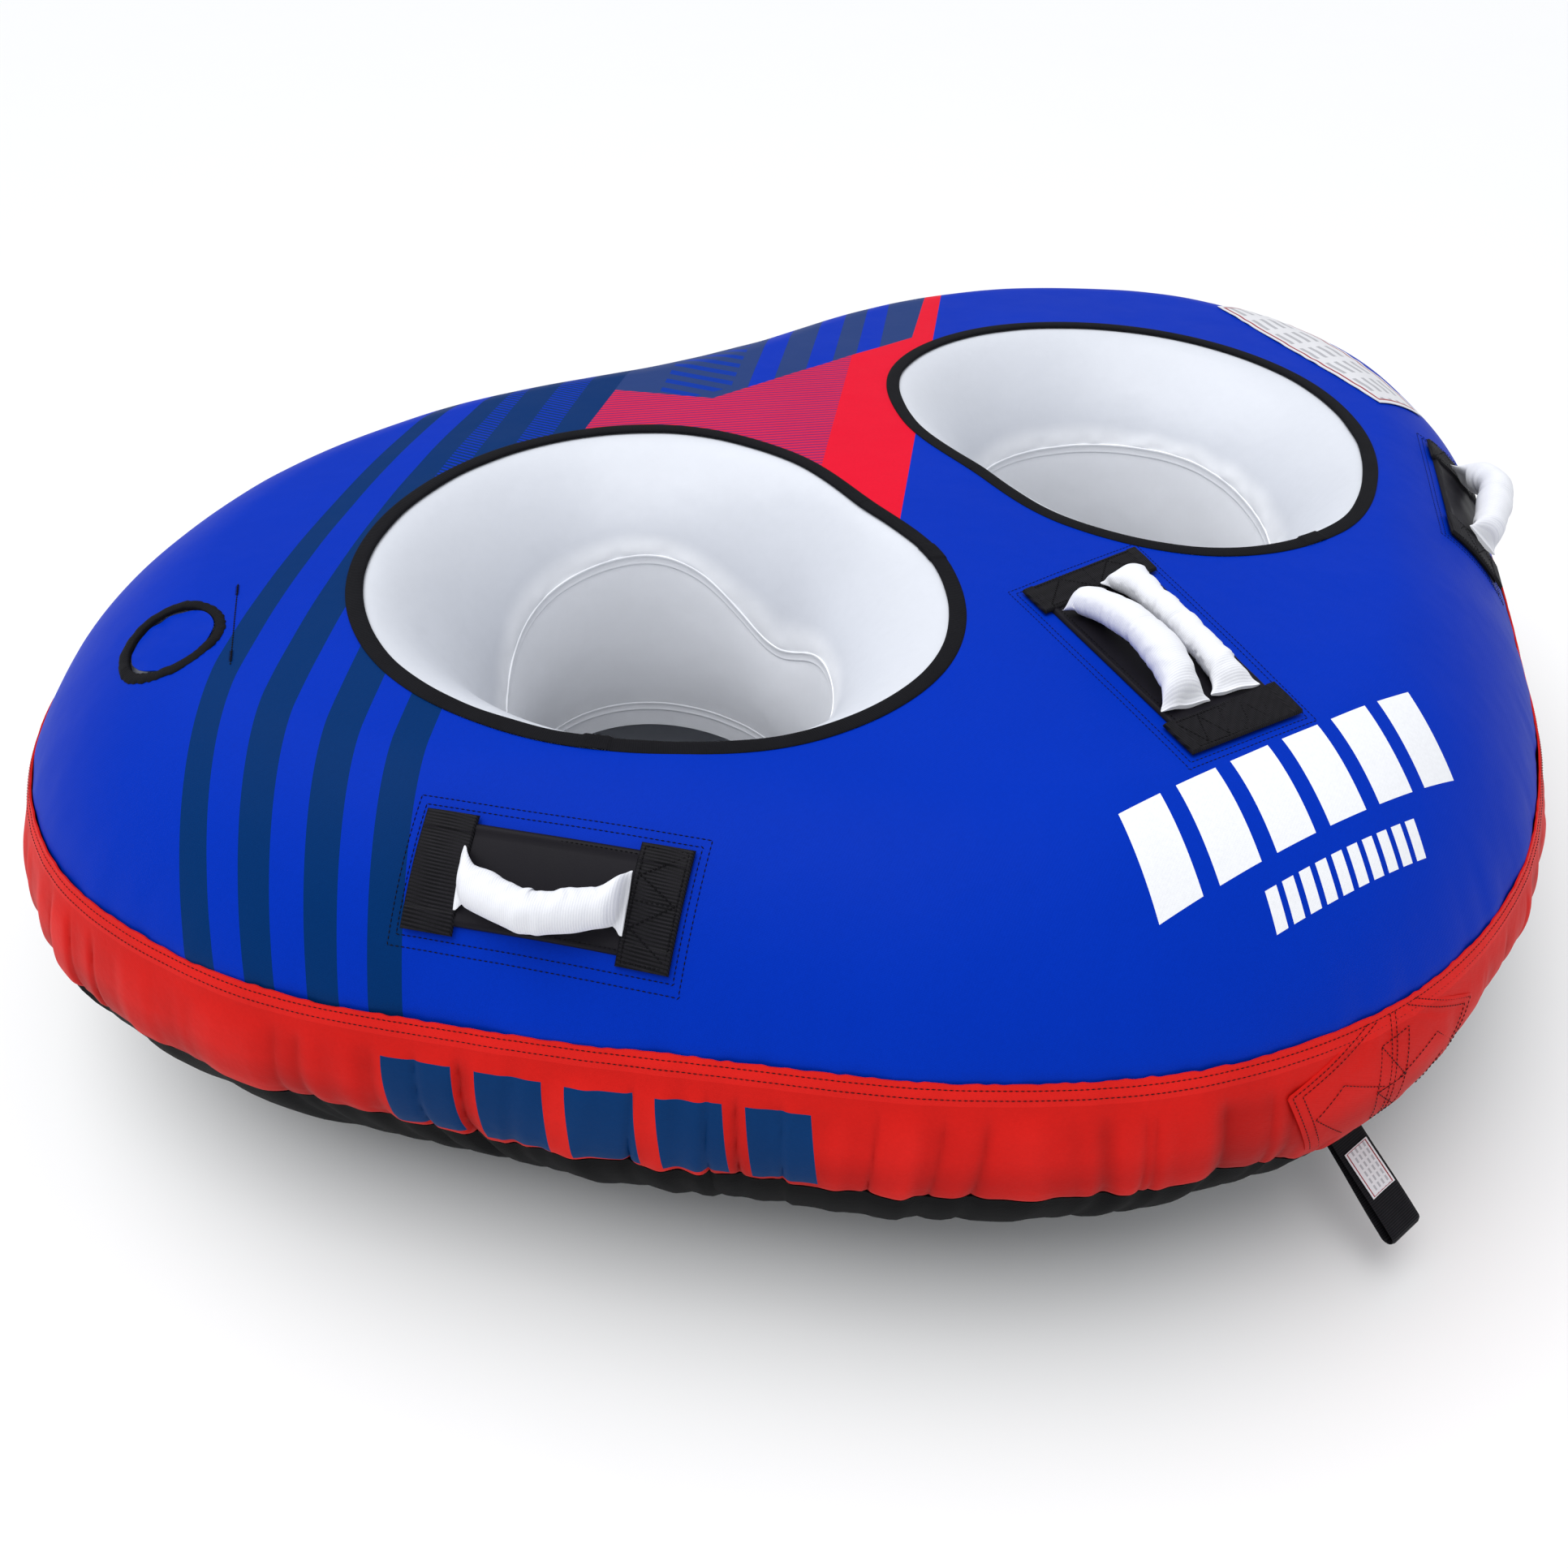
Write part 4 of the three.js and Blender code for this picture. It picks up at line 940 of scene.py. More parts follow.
# Each well's upper weld sags and rises: its mean height in millimetres, then every hump or dip as its height,
# the angle in degrees where it is, and its reach either way.
UPPER_WELDS = {
    -1: (338, [(14, 118, 24), (-52, 167, 27), (-95, 25, 38), (-8, 240, 40)]),
    1: (328, [(12, 10, 40), (12, 190, 40), (-12, 100, 40), (-12, 280, 40)]),
}
FUNNEL_FLATNESS = 1.4  # 1 would be a quarter ellipse, 2 a straight cone


def upper_weld_height(side):
    mean, bends = UPPER_WELDS[side]
    height = mean + 0 * COLUMNS.angle
    for rise, middle, reach in bends:
        gap = np.degrees(from_nose(COLUMNS.angle - math.radians(middle)))
        height = height + rise * np.exp(-((gap / reach) ** 2))
    return height * MM


def well_swell(angle, depth):
    """The film's swells and its short creases near a weld. depth runs from the mouth (0) to the weld (1)."""
    swell = 2.4 * MM * around(angle, 11, 51) * np.sin(math.pi * depth)
    folds = 1.1 * MM * around(angle, 34, 53) * ease(depth, 0.35, 0.8) * (1 - ease(depth, 0.85, 1))
    creases = 0.7 * MM * around(angle, 90, 52) * ease(depth, 0.8, 0.95) * (1 - ease(depth, 0.95, 1))
    return swell + folds + creases


def well_rows(side):
    """Rows from the floor up to the lip under the tape."""
    low = -BLADDER_OFFSET
    rows = [points(*COLUMNS.ends.T, low)]
    for turn in np.radians([90, 72, 54, 36, 18, 0]):
        plan = lerp(COLUMNS.throat, COLUMNS.foot, math.sin(turn))
        rows.append(points(*plan.T, lerp(SKIRT_HEIGHT, low, 1 - math.cos(turn))))
    rows.append(points(*COLUMNS.throat.T, LOWER_WELD_HEIGHT))
    weld = upper_weld_height(side)
    for share in np.linspace(0.04, 0.96, 16):
        bulge = 5.0 * MM * math.sin(math.pi * share) ** 0.8
        plan = COLUMNS.throat - COLUMNS.ray * bulge
        rows.append(points(*plan.T, lerp(LOWER_WELD_HEIGHT + WELD_HEIGHT, weld - WELD_HEIGHT, share)))
    rows.append(points(*COLUMNS.throat.T, weld - WELD_HEIGHT))
    lip = lerp(COLUMNS.mouth, COLUMNS.throat, LIP_SHARE)
    lip_height = deck_height(*lip.T) + BLADDER_OFFSET - 1 * MM
    for depth in np.linspace(1, 0, 34):
        turn = depth * math.pi / 2
        plan = lerp(lip, COLUMNS.throat, math.sin(turn) ** FUNNEL_FLATNESS)
        plan = plan - COLUMNS.ray * well_swell(side * COLUMNS.angle, depth)[:, None]
        rows.append(points(*plan.T, lerp(weld, lip_height, max(0, math.cos(turn)) ** FUNNEL_FLATNESS)))
    return [for_side(row, side) for row in rows]


def bladder():
    shell = Shell()
    bearings = COLUMNS.bearings
    for side in (1, -1):
        deck = deck_rows(np.linspace(0, 1, 5), lambda x, y: BLADDER_OFFSET - 1.5 * MM, side, start=0)
        ring = shell.add([*well_rows(side), *deck])
        shell.join(ring, closed=True)

        def angles(b):
            return math.pi / 2 + 0 * b, edge_angle(BOTTOM_PANEL_RISE) + 0 * b

        def offset(b, share):
            return BLADDER_OFFSET - 1.5 * MM - 9 * MM * ease(share, 0, 0.25) + 0 * b

        fall = edge_rows(angles, np.linspace(0, 1, 16), offset, side * bearings)
        floor = points(*COLUMNS.ends[: len(bearings)].T, -BLADDER_OFFSET)
        edge = shell.add([*fall, for_side(floor, side)])
        shell.join(edge)
    thing = shell.piece("bladder_film", FILM, weld=2e-5)
    valve_hole(thing, 46 * MM, -18 * MM)
    valve_hole(thing, 19 * MM, -60 * MM)
    place = corners_of(thing)
    across, along = np.abs(place[:, 0]) - WELL_CENTRE[0], place[:, 1] - WELL_CENTRE[1]
    from_throat = np.hypot(across / THROAT_HALF_WIDTH, along / THROAT_HALF_LENGTH)
    # Marks the well wall below the upper weld for its painted light.
    mark(thing, "wall_painted_light", ease(from_throat, 1.06, 1.0))
    settle(thing, "tube", "white_film", "air_bladder")


def weld_ridge(name, bottom, side):
    """A flat weld strip with a raised bead along each edge."""
    profile = [
        (-0.8, -1.5), (-0.5, 0.3), (0.6, 0.9), (1.8, 0.6), (3.0, 0.4),
        (7.0, 0.4), (8.2, 0.6), (9.4, 1.1), (10.6, 0.6), (11.2, -1.5),
    ]
    rows = []
    for rise, proud in profile:
        creep = 0.4 * MM * around(COLUMNS.angle, 40, 61)
        plan = COLUMNS.throat - COLUMNS.ray * (proud * MM + 0.2 * MM)
        rows.append(for_side(points(*plan.T, bottom + rise * MM + creep), side))
    shell = Shell()
    numbers = shell.add([*rows, rows[0]])
    shell.join(numbers, closed=True)
    thing = shell.piece(f"{name}_ridge", FILM)
    # The weld ridges take the wall's painted light all over.
    mark(thing, "wall_painted_light", np.ones(len(thing.data.vertices)))
    settle(thing, "tube", "white_film", name)


def mouth_tape(name, side, joints):
    """Folded tape round a mouth. It is thicker for a short way at each of its overlap joints."""
    steps = 900
    around_mouth = np.linspace(0, TURN, steps, endpoint=False)
    ray = np.stack([np.cos(around_mouth), np.sin(around_mouth)], -1)
    mouth = WELL_CENTRE + ray * mouth_radius(around_mouth)[:, None]
    lap = np.zeros(steps)
    for joint in joints:
        gap = np.abs(from_nose(around_mouth - math.radians(joint)))
        lap = np.maximum(lap, 1 - ease(gap, math.radians(2.6), math.radians(2.9)))
    sway = 0.5 * MM * around(around_mouth, 44, 71)
    section = [
        (14.0, -1.6), (14.3, -0.2), (13.6, 0.9), (12.2, 1.5), (8.0, 1.75), (4.0, 1.7),
        (1.2, 1.5), (-0.3, 1.1), (-0.8, 0.5), (-0.6, 0.1), (3.0, -1.6),
    ]
    rows = []
    for inward, lift in section:
        shift = inward * MM + sway * (inward > 1) + lap * 0.8 * MM * (inward > 10)
        plan = mouth - ray * shift[:, None]
        height = lift * MM + lap * 1.1 * MM * (lift > 0)
        rows.append(for_side(on_deck(*plan.T, height), side))
    shell = Shell()
    numbers = shell.add([*rows, rows[0]])
    shell.join(numbers, closed=True)
    thing = shell.piece(f"{name}_tape", TAPE, sharp=60)
    place = corners_of(thing)
    turn = np.arctan2(place[:, 1] - WELL_CENTRE[1], side * place[:, 0] - WELL_CENTRE[0])
    mark(thing, "along", turn * 0.27)
    settle(thing, "tube", "binding_tape", name)


# ----------------------------------------------------------------------------------------------------------
# Stitches
# ----------------------------------------------------------------------------------------------------------


class Stitching:
    """Rows of small raised stitches, gathered into one piece."""

    def __init__(self):
        self.points = []
        self.faces = []

    def row(self, line, normals, pitch=4 * MM, length=3.8 * MM, width=0.5 * MM, rise=0.45 * MM):
        """Stitches at every pitch along a line of points, standing up along the normals."""
        steps = np.linalg.norm(np.diff(line, axis=0), axis=1)
        run = np.concatenate([[0], np.cumsum(steps)])
        count = max(1, int(run[-1] / pitch))
        middles = (np.arange(count) + 0.5) * run[-1] / count

        def at(places, values=line):
            return np.stack([np.interp(places, run, values[:, k]) for k in range(3)], -1)

        normal = unit(at(middles, normals))
        along = unit(at(middles + length / 2) - at(middles - length / 2))
        side = np.cross(normal, along)
        centre = at(middles)
        for c, a, s, n in zip(centre, along * length / 2, side * width, normal * rise):
            start = len(self.points)
            self.points += [c - a, c + s, c + a, c - s, c + n, c - n]
            for i in range(4):
                j = (i + 1) % 4
                self.faces += [(start + i, start + j, start + 4), (start + j, start + i, start + 5)]

    def piece(self, name, body="tube"):
        mesh = bpy.data.meshes.new(name)
        mesh.from_pydata([tuple(p) for p in self.points], [], self.faces)
        mesh.shade_smooth()
        mesh.materials.append(BLACK_THREAD)
        thing = bpy.data.objects.new(name, mesh)
        bpy.context.scene.collection.objects.link(thing)
        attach(thing, body)
        return thing


def plan_line(corners, step=2 * MM):
    """A line of plan points through corners, with a point at every step."""
    corners = np.asarray(corners, float)
    pieces = []
    for a, b in zip(corners[:-1], corners[1:]):
        count = max(2, int(np.linalg.norm(b - a) / step))
        pieces.append(lerp(a, b, np.linspace(0, 1, count, endpoint=False)[:, None]))
    return np.concatenate([*pieces, corners[-1:]])


def stitch_on_deck(stitching, corners, offset, **sizes):
    x, y = plan_line(corners).T
    height = offset + cloth_lift(x, y)
    stitching.row(on_deck(x, y, height), deck_normal(x, y), **sizes)


def edge_line(places, step=0.0035):
    """Bearings and heights along straight runs between (bearing in degrees, height in mm) places."""
    places = np.array([(math.radians(b), h * MM) for b, h in places])
    return plan_line(places, step).T


def stitch_on_edge(stitching, places, offset, **sizes):
    bearing, height = edge_line(places)
    angle = edge_angle(height)
    stitching.row(on_edge(bearing, angle, offset), edge_normal(bearing, angle), **sizes)


def seam_stitches():
    """The two rows along the band's folded hem."""
    stitching = Stitching()
    turn = np.linspace(0, TURN, 1441)
    for height in (297.5 * MM, 291.0 * MM):
        angle = edge_angle(height) + 0 * turn
        share = (TOP_SEAM_HEIGHT - height) / (TOP_SEAM_HEIGHT - LOW_SEAM_HEIGHT)
        lift = 1.6 * MM + gathers(turn, share)
        stitching.row(on_edge(turn, angle, lift), edge_normal(turn, angle), pitch=4.2 * MM, length=3.9 * MM)
    stitching.piece("seam_stitches")


# ----------------------------------------------------------------------------------------------------------
# Handle pads and their end webbing
# ----------------------------------------------------------------------------------------------------------

SIDE_PAD = np.array([[-585, -248], [-634, -294], [-489, -432], [-438, -386]]) * MM
CENTRE_PAD = np.array([[93, -281], [-47, -284], [-81, -520], [34, -529]]) * MM
PADS = {"left": SIDE_PAD, "centre": CENTRE_PAD, "right": SIDE_PAD * [-1, 1]}
STRIP_WIDTH = 40 * MM


def in_pad(corners, along, across):
    """Plan coordinates at shares along a pad, rear to front, and across it, inside to outside."""
    rear = lerp(corners[0], corners[1], across[..., None])
    front = lerp(corners[3], corners[2], across[..., None])
    return lerp(rear, front, along[..., None])


def pad_grid(corners, along, across, step):
    """Evenly spaced shares over part of a pad, and each one's distances from the part's sides."""
    length = np.linalg.norm(corners[3] - corners[0]) * (along[1] - along[0])
    width = np.linalg.norm(corners[1] - corners[0]) * (across[1] - across[0])
    u = np.linspace(0, 1, int(length / step[0]) + 1)[None, :]
    v = np.linspace(0, 1, int(width / step[1]) + 1)[:, None]
    u, v = np.broadcast_arrays(u, v)
    from_end = np.minimum(u, 1 - u) * length
    from_side = np.minimum(v, 1 - v) * width
    return lerp(*along, u), lerp(*across, v), from_end, from_side, u * length, v * width


def rounded(distance, radius):
    """From 0 at an edge to 1 at the radius, as a quarter circle."""
    share = np.clip(distance / radius, 0, 1)
    return np.sqrt(1 - (1 - share) ** 2)


def flat_goods(name, finish, corners, u, v, bottom, top):
    """A closed slab on the deck between two arrays of heights."""
    plan = in_pad(corners, u, v)
    x, y = plan[..., 0], plan[..., 1]
    shell = Shell()
    shell.sheet(on_deck(x, y, top), on_deck(x, y, bottom + 0 * top))
    return shell.piece(name, finish, sharp=70)


def pad_piece(name, corners):
    """A neoprene pad with a turned and stitched edge."""
    step = (2.5 * MM, 1.25 * MM)
    u, v, from_end, from_side, _, _ = pad_grid(corners, (0.02, 0.98), (0.07, 0.93), step)
    near = np.minimum(from_end, from_side)
    fold = ease(near, 7.0 * MM, 5.2 * MM)
    groove = np.exp(-((from_side - 5.0 * MM) / (0.9 * MM)) ** 2)
    plan = in_pad(corners, u, v)
    quilt = 0.35 * MM * patchy(plan[..., 0], plan[..., 1], 22 * MM, 81)
    top = 1.2 * MM + rounded(near, 2 * MM) * (2.3 * MM + 1.1 * MM * fold - 0.6 * MM * groove + quilt)
    thing = flat_goods(f"pad_{name}_neoprene", NEOPRENE, corners, u, v, 1.0 * MM, top)
    settle(thing, "tube", "neoprene", f"handle_pad_{name}")


def strip_piece(name, end, corners, along):
    """A webbing strip across a pad's end: ribs across it, folded under at both of its ends."""
    step = (1.3 * MM, 0.5 * MM)
    u, v, from_edge, from_tip, _, run = pad_grid(corners, along, (0, 1), step)
    ribs = 0.14 * MM * np.sin(run * TURN / WEBBING_RIB)
    doubled = 0.9 * MM * ease(from_tip, 12 * MM, 11 * MM)
    sag = 0.5 * MM * patchy(run, from_edge, 25 * MM, 91)
    height = rounded(np.minimum(from_edge, from_tip), 1.1 * MM) * (2.0 * MM + doubled + ribs + sag)
    thing = flat_goods(f"webbing_{name}_{end}", WEBBING, corners, u, v, 3.4 * MM, 3.6 * MM + height)
    mark(thing, "along", shares_on_pad(thing, corners, 1))
    mark(thing, "across", shares_on_pad(thing, corners, 0))
    settle(thing, "tube", "webbing", f"end_webbing_{name}_{end}")


def shares_on_pad(thing, corners, axis):
    """Each point's distance along (0) or across (1) a pad, measured straight in plan."""
    other = corners[3] if axis == 0 else corners[1]
    direction = unit(other - corners[0])
    return (corners_of(thing)[:, :2] - corners[0]) @ direction


def strip_stitches(stitching, corners, along, zigzag):
    """A stitched rectangle inside a webbing strip, and a zigzag across it."""
    def at(u, v):
        return in_pad(corners, np.array(lerp(*along, u)), np.array(v))

    frame_corners = [at(0.1, 0.04), at(0.9, 0.04), at(0.9, 0.96), at(0.1, 0.96), at(0.1, 0.04)]
    stitch_on_deck(stitching, frame_corners, 5.9 * MM, pitch=3.6 * MM, length=3.2 * MM, width=0.8 * MM)
    peaks = [at(0.14 if i % 2 else 0.86, lerp(0.08, 0.92, i / zigzag)) for i in range(zigzag + 1)]
    stitch_on_deck(stitching, peaks, 5.9 * MM, pitch=3.6 * MM, length=3.2 * MM, width=0.8 * MM)
    middle = [at(0.12, 0.5), at(0.88, 0.5)]
    stitch_on_deck(stitching, middle, 5.9 * MM, pitch=3.6 * MM, length=2.7 * MM)


def grown(corners, margin):
    """The corners of a pad moved out by a margin, and the first one again."""
    out = []
    for i in range(4):
        before, here, after = corners[i - 1], corners[i], corners[(i + 1) % 4]
        out.append(here + (unit(here - before) + unit(here - after)) * margin)
    return np.array([*out, out[0]])


def handle_pads():
    for name, corners in PADS.items():
        share = STRIP_WIDTH / np.linalg.norm(corners[3] - corners[0])
        pad_piece(name, corners)
        stitching, outline = Stitching(), Stitching()
        for end, along in {"rear": (0, share), "front": (1 - share, 1)}.items():
            strip_piece(name, end, corners, along)
            strip_stitches(stitching, corners, along, 9 if (name, end) == ("centre", "front") else 4)
        for across in (0.115, 0.885):
            side = [in_pad(corners, np.array(u), np.array(across)) for u in (share, 1 - share)]
            stitch_on_deck(stitching, side, 4.2 * MM, pitch=3.6 * MM, length=2.7 * MM)
        for margin in (3.5 * MM, 9 * MM):
            stitch_on_deck(outline, grown(corners, margin), 0.2 * MM, pitch=4.2 * MM, length=3.9 * MM)
        stitching.piece(f"pad_{name}_stitches")
        outline.piece(f"pad_{name}_outline_stitches")


# ----------------------------------------------------------------------------------------------------------
# Grips
# ----------------------------------------------------------------------------------------------------------

SIDE_REAR, SIDE_FRONT = np.array([-585, -300]) * MM, np.array([-497, -388]) * MM
LEFT_FRONT = np.array([-494, -384]) * MM
CENTRE_LEFT_ENDS = np.array([[-18, -334], [-46, -478]]) * MM
CENTRE_RIGHT_ENDS = np.array([[40, -320], [4, -484]]) * MM
MIRROR = np.array([-1, 1])
HINGE_LIFT = 13 * MM
GRIP_STATIONS = 260
GRIP_RING = 52
GRIP_SQUARENESS = 0.85  # 1 would make the cross-section an ellipse

# Rear end, front end, height of the arch, outward lean in degrees, how far the arch's top is moved along it,
# how thick the stuffing is, how round the arch is (1 is a sharp V), and whether the rear end is blunt.
GRIPS = {
    "left": (SIDE_REAR, LEFT_FRONT, 26 * MM, 42, 0.0, 1.0, 1.3, False),
    "centre_left": (*CENTRE_LEFT_ENDS, 18 * MM, -10, 0.1, 1.0, 1.9, True),
    "centre_right": (*CENTRE_RIGHT_ENDS, 6 * MM, 10, 0.0, 0.78, 1.9, True),
    "right": (SIDE_REAR * MIRROR, SIDE_FRONT * MIRROR, 23 * MM, -4, -0.25, 1.1, 1.5, False),
}


class GripPath:
    """The line a grip follows, and the directions across and out of it at each place."""

    def __init__(self, rear, front, rise, lean, skew, fullness, roundness, blunt):
        middle = (rear + front) / 2
        start, end = on_deck(*rear), on_deck(*front)
        self.span = np.linalg.norm(end - start)
        self.rise = rise
        self.lean = math.radians(lean)
        self.skew = skew
        self.fullness = fullness
        self.roundness = roundness
        self.blunt = blunt
        self.along = unit(end - start)
        self.up = deck_normal(*middle)
        across = unit(np.cross(self.up, self.along))
        self.across = across
        self.out = np.cross(self.along, across)
        self.origin = on_deck(*middle) + self.up * HINGE_LIFT

    def flatness(self, share, start):
        """From 0 to 1 as the grip flattens towards an end. A blunt rear end flattens only at the very end."""
        blunt_rear = self.blunt * (share < 0)
        return ease(np.abs(share), np.where(blunt_rear, 0.93, start), 1.0)

    def leaning(self, angle):
        """Directions out of and across the grip at a lean."""
        angle = np.asarray(angle)[..., None]
        out = self.out * np.cos(angle) - self.across * np.sin(angle)
        side = self.across * np.cos(angle) + self.out * np.sin(angle)
        return out, side

    def at(self, x):
        share = 2 * x / self.span
        reach = np.abs(share)
        flat = self.flatness(share, 0.80)
        lean = self.lean * (1 - flat)
        from_top = np.abs(share - self.skew * (1 - np.minimum(reach, 1) ** 2))
        height = self.rise * (1 - np.minimum(from_top, 1) ** self.roundness) - 5.5 * MM * flat
        out, side = self.leaning(lean)
        centre = self.origin + self.along * x[..., None] + out * height[..., None]
        return centre, out, side, reach


def grip_piece(name, seed):
    """A padded fabric tube, gathered and flattened where each end is sewn down."""
    path = GripPath(*GRIPS[name])
    x = np.linspace(-0.5, 0.5, GRIP_STATIONS) * (path.span + 1 * MM)
    centre, out, side, reach = path.at(x)
    tangent = unit(np.gradient(centre, axis=0))
    out = unit(np.cross(side, tangent) * np.sign(np.sum(np.cross(side, tangent) * out, -1))[:, None])
    flat = path.flatness(2 * x / path.span, 0.70)
    taper = np.clip((reach - 0.70) / 0.29, 0, 1)
    uneven = patchy(x, 0 * x, 14 * MM, seed)
    ears = 2.0 * MM * ease(reach, 0.93, 1.0)
    wide = lerp((16.0 * MM + 0.9 * MM * uneven) * path.fullness, 21.5 * MM, taper ** 1.6) + ears
    thick = lerp((14.2 * MM + 0.9 * MM * uneven) * path.fullness, 2.0 * MM, flat)
    turn = np.linspace(0, TURN, GRIP_RING, endpoint=False)
    bend = 1 - flat
    rows = []
    for i in range(GRIP_STATIONS):
        broad = 1.5 * MM * wander(x[i] / (7 * MM) + 1.1 * np.sin(turn + seed) + 40, 60, seed + 1)
        fine = 1.1 * MM * wander(x[i] / (4 * MM) - 1.6 * np.cos(turn) + 40, 80, seed + 5)
        folds = broad + fine * (np.sin(turn) < 0.3)
        folds = folds * (0.5 + 0.5 * wander(turn / TURN * 5, 5, seed + 2)) * bend[i]
        crease = -2.2 * MM * math.exp(-((x[i] - 1 * MM) / (3.2 * MM)) ** 2)
        crease = crease * ease(-np.cos(turn + 0.6), -0.4, 0.7)
        frill = 1.6 * MM * wander(turn / TURN * 9, 9, seed + 3) * ease(reach[i], 0.82, 1.0)
        a = (wide[i] + folds + crease * 0.4) * np.cos(turn)
        swell = np.sign(np.sin(turn)) * np.abs(np.sin(turn)) ** GRIP_SQUARENESS
        b = (thick[i] + folds * 0.8 + crease) * swell + frill
        rows.append(centre[i] + side[i] * a[:, None] + out[i] * b[:, None])
    shell = Shell()
    numbers = shell.add(rows)
    shell.join(numbers, closed=True)
    for end in (0, -1):
        middle = shell.add(np.repeat([centre[end]], GRIP_RING, axis=0)[None])
        shell.join([numbers[end], middle[0]], closed=True)
    thing = shell.piece(f"grip_{name}_cloth", GRIP_CLOTH, sharp=75)
    mark(thing, "along", (corners_of(thing) - path.origin) @ path.along)
    out_at_rest, _ = path.leaning(path.lean)
    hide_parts(f"grip_{name}", f"grip_strap_{name}")
    end = path.origin + out_at_rest * 9 * MM
    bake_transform(thing)


# ----------------------------------------------------------------------------------------------------------
# Nose patch, label and tow loop
# ----------------------------------------------------------------------------------------------------------

# The patch's height in millimetres and its reach to each side in degrees, from its top down.
NOSE_PATCH_ROWS = np.array([[299, 2.4], [281, 5.4], [266, 8.2], [238, 7.2], [215, 6.4], [203, 6.0]])
NOSE_TURN = -2.2  # degrees: the stitched nose sits a little to the left
NOSE_DEGREE = 12 * MM  # one degree of bearing, along the nose


def nose_patch():
    heights = np.linspace(299, 203, 40)
    spreads = np.interp(-heights, -NOSE_PATCH_ROWS[:, 0], NOSE_PATCH_ROWS[:, 1])
    u = np.linspace(-1, 1, 60)
    bearing = np.radians(spreads[:, None] * u[None, :] + NOSE_TURN)
    height = np.repeat(heights[:, None] * MM, 60, axis=1)
    angle = edge_angle(height)
    from_side = (1 - np.abs(u))[None, :] * spreads[:, None] * NOSE_DEGREE
    from_rim = np.minimum(from_side, (299 - heights)[:, None] * MM)
    wrinkle = 0.8 * MM * wander(u[None, :] * 7 + heights[:, None] / 19 + 20, 40, 95)
    top = 1.3 * MM + 0.3 * MM * rounded(from_rim, 2 * MM) + wrinkle * ease(from_rim, 0, 8 * MM)
    shell = Shell()
    shell.sheet(on_edge(bearing, angle, top), on_edge(bearing, angle, 0.3 * MM))
    thing = shell.piece("nose_patch_cloth", BAND_CLOTH, sharp=60)
    mark_edge(thing)
    settle(thing, "tube", "red_nylon", "nose_patch")


def nose_line(stitching, places):
    stitch_on_edge(stitching, [(bearing + NOSE_TURN, height) for bearing, height in places], 1.9 * MM)


def nose_stitches():
    """A doubled outline, a diamond each side, a crossed rectangle and the centre seam."""
    stitching = Stitching()
    for inset in (0.35, 1.05):
        for side in (1, -1):
            nose_line(stitching, [
                (side * max(0.2, spread - inset), height - inset * 2) for height, spread in NOSE_PATCH_ROWS
            ])
    for side in (1, -1):
        nose_line(stitching, [(side * b, h) for b, h in ((0.6, 240), (4.1, 260), (6.0, 238), (3.4, 208))])
    upper_box = [(-1.1, 277), (1.3, 281), (1.2, 240), (-1.2, 237)]
    lower_box = [(-1.2, 237), (1.2, 240), (1.0, 208), (-1.0, 205)]
    for box in (upper_box, lower_box):
        nose_line(stitching, [*box, box[0]])
        nose_line(stitching, [box[0], box[2]])
    for bearing in (-0.22, 0.22):
        nose_line(stitching, [(bearing, 298), (bearing, 206)])
    stitching.piece("nose_stitches")


# The shoulder label's corners in plan: inner rear, outer rear, outer front, inner front.
SHOULDER_TAG = np.array([[651, 125], [721, 110], [655, -196], [585, -181]]) * MM


def shoulder_tag():
    u, v = np.meshgrid(np.linspace(0, 1, 140), np.linspace(0, 1, 34))
    plan = in_pad(SHOULDER_TAG, u, v)
    x, y = plan[..., 0], plan[..., 1]
    lift = cloth_lift(x, y) + 1.2 * MM + 0.4 * MM * wander(u * 24, 24, 97)
    shell = Shell()
    shell.sheet(on_deck(x, y, lift + 0.6 * MM), on_deck(x, y, lift))
    thing = shell.piece("shoulder_tag", LABEL, sharp=60)
    length = np.linalg.norm(SHOULDER_TAG[3] - SHOULDER_TAG[0])
    width = np.linalg.norm(SHOULDER_TAG[1] - SHOULDER_TAG[0])
    mark(thing, "along", shares_on_pad(thing, SHOULDER_TAG, 0) / length)
    mark(thing, "across", shares_on_pad(thing, SHOULDER_TAG, 1) / width)
    settle(thing, "tube", "label_fabric", "shoulder_label")


TOW_ANCHOR = np.array([5, -701, 119]) * MM
TOW_LEAN = math.radians(55)
TOW_DOWN = unit(np.array([0.08, -math.sin(TOW_LEAN), -math.cos(TOW_LEAN)]))
TOW_OUT = unit(np.cross([-1.0, 0, 0], TOW_DOWN))
TOW_ACROSS = np.cross(TOW_DOWN, TOW_OUT)
TOW_LENGTH = 107 * MM
TOW_WIDTH = 38 * MM
TOW_EYE = 9 * MM
TOW_PLY = 2.6 * MM
TOW_TAG_START = 24 * MM
TOW_TAG_LENGTH = 42 * MM
TOW_TAG_WIDTH = 30 * MM


def tow_point(down, out, across):
    place = TOW_ANCHOR + down[..., None] * TOW_DOWN
    return place + out[..., None] * TOW_OUT + across[..., None] * TOW_ACROSS


def tow_pinch(down):
    """The plies lie close together under the band and open out towards the end."""
    return 0.55 + 0.45 * ease(down, 10 * MM, 90 * MM)


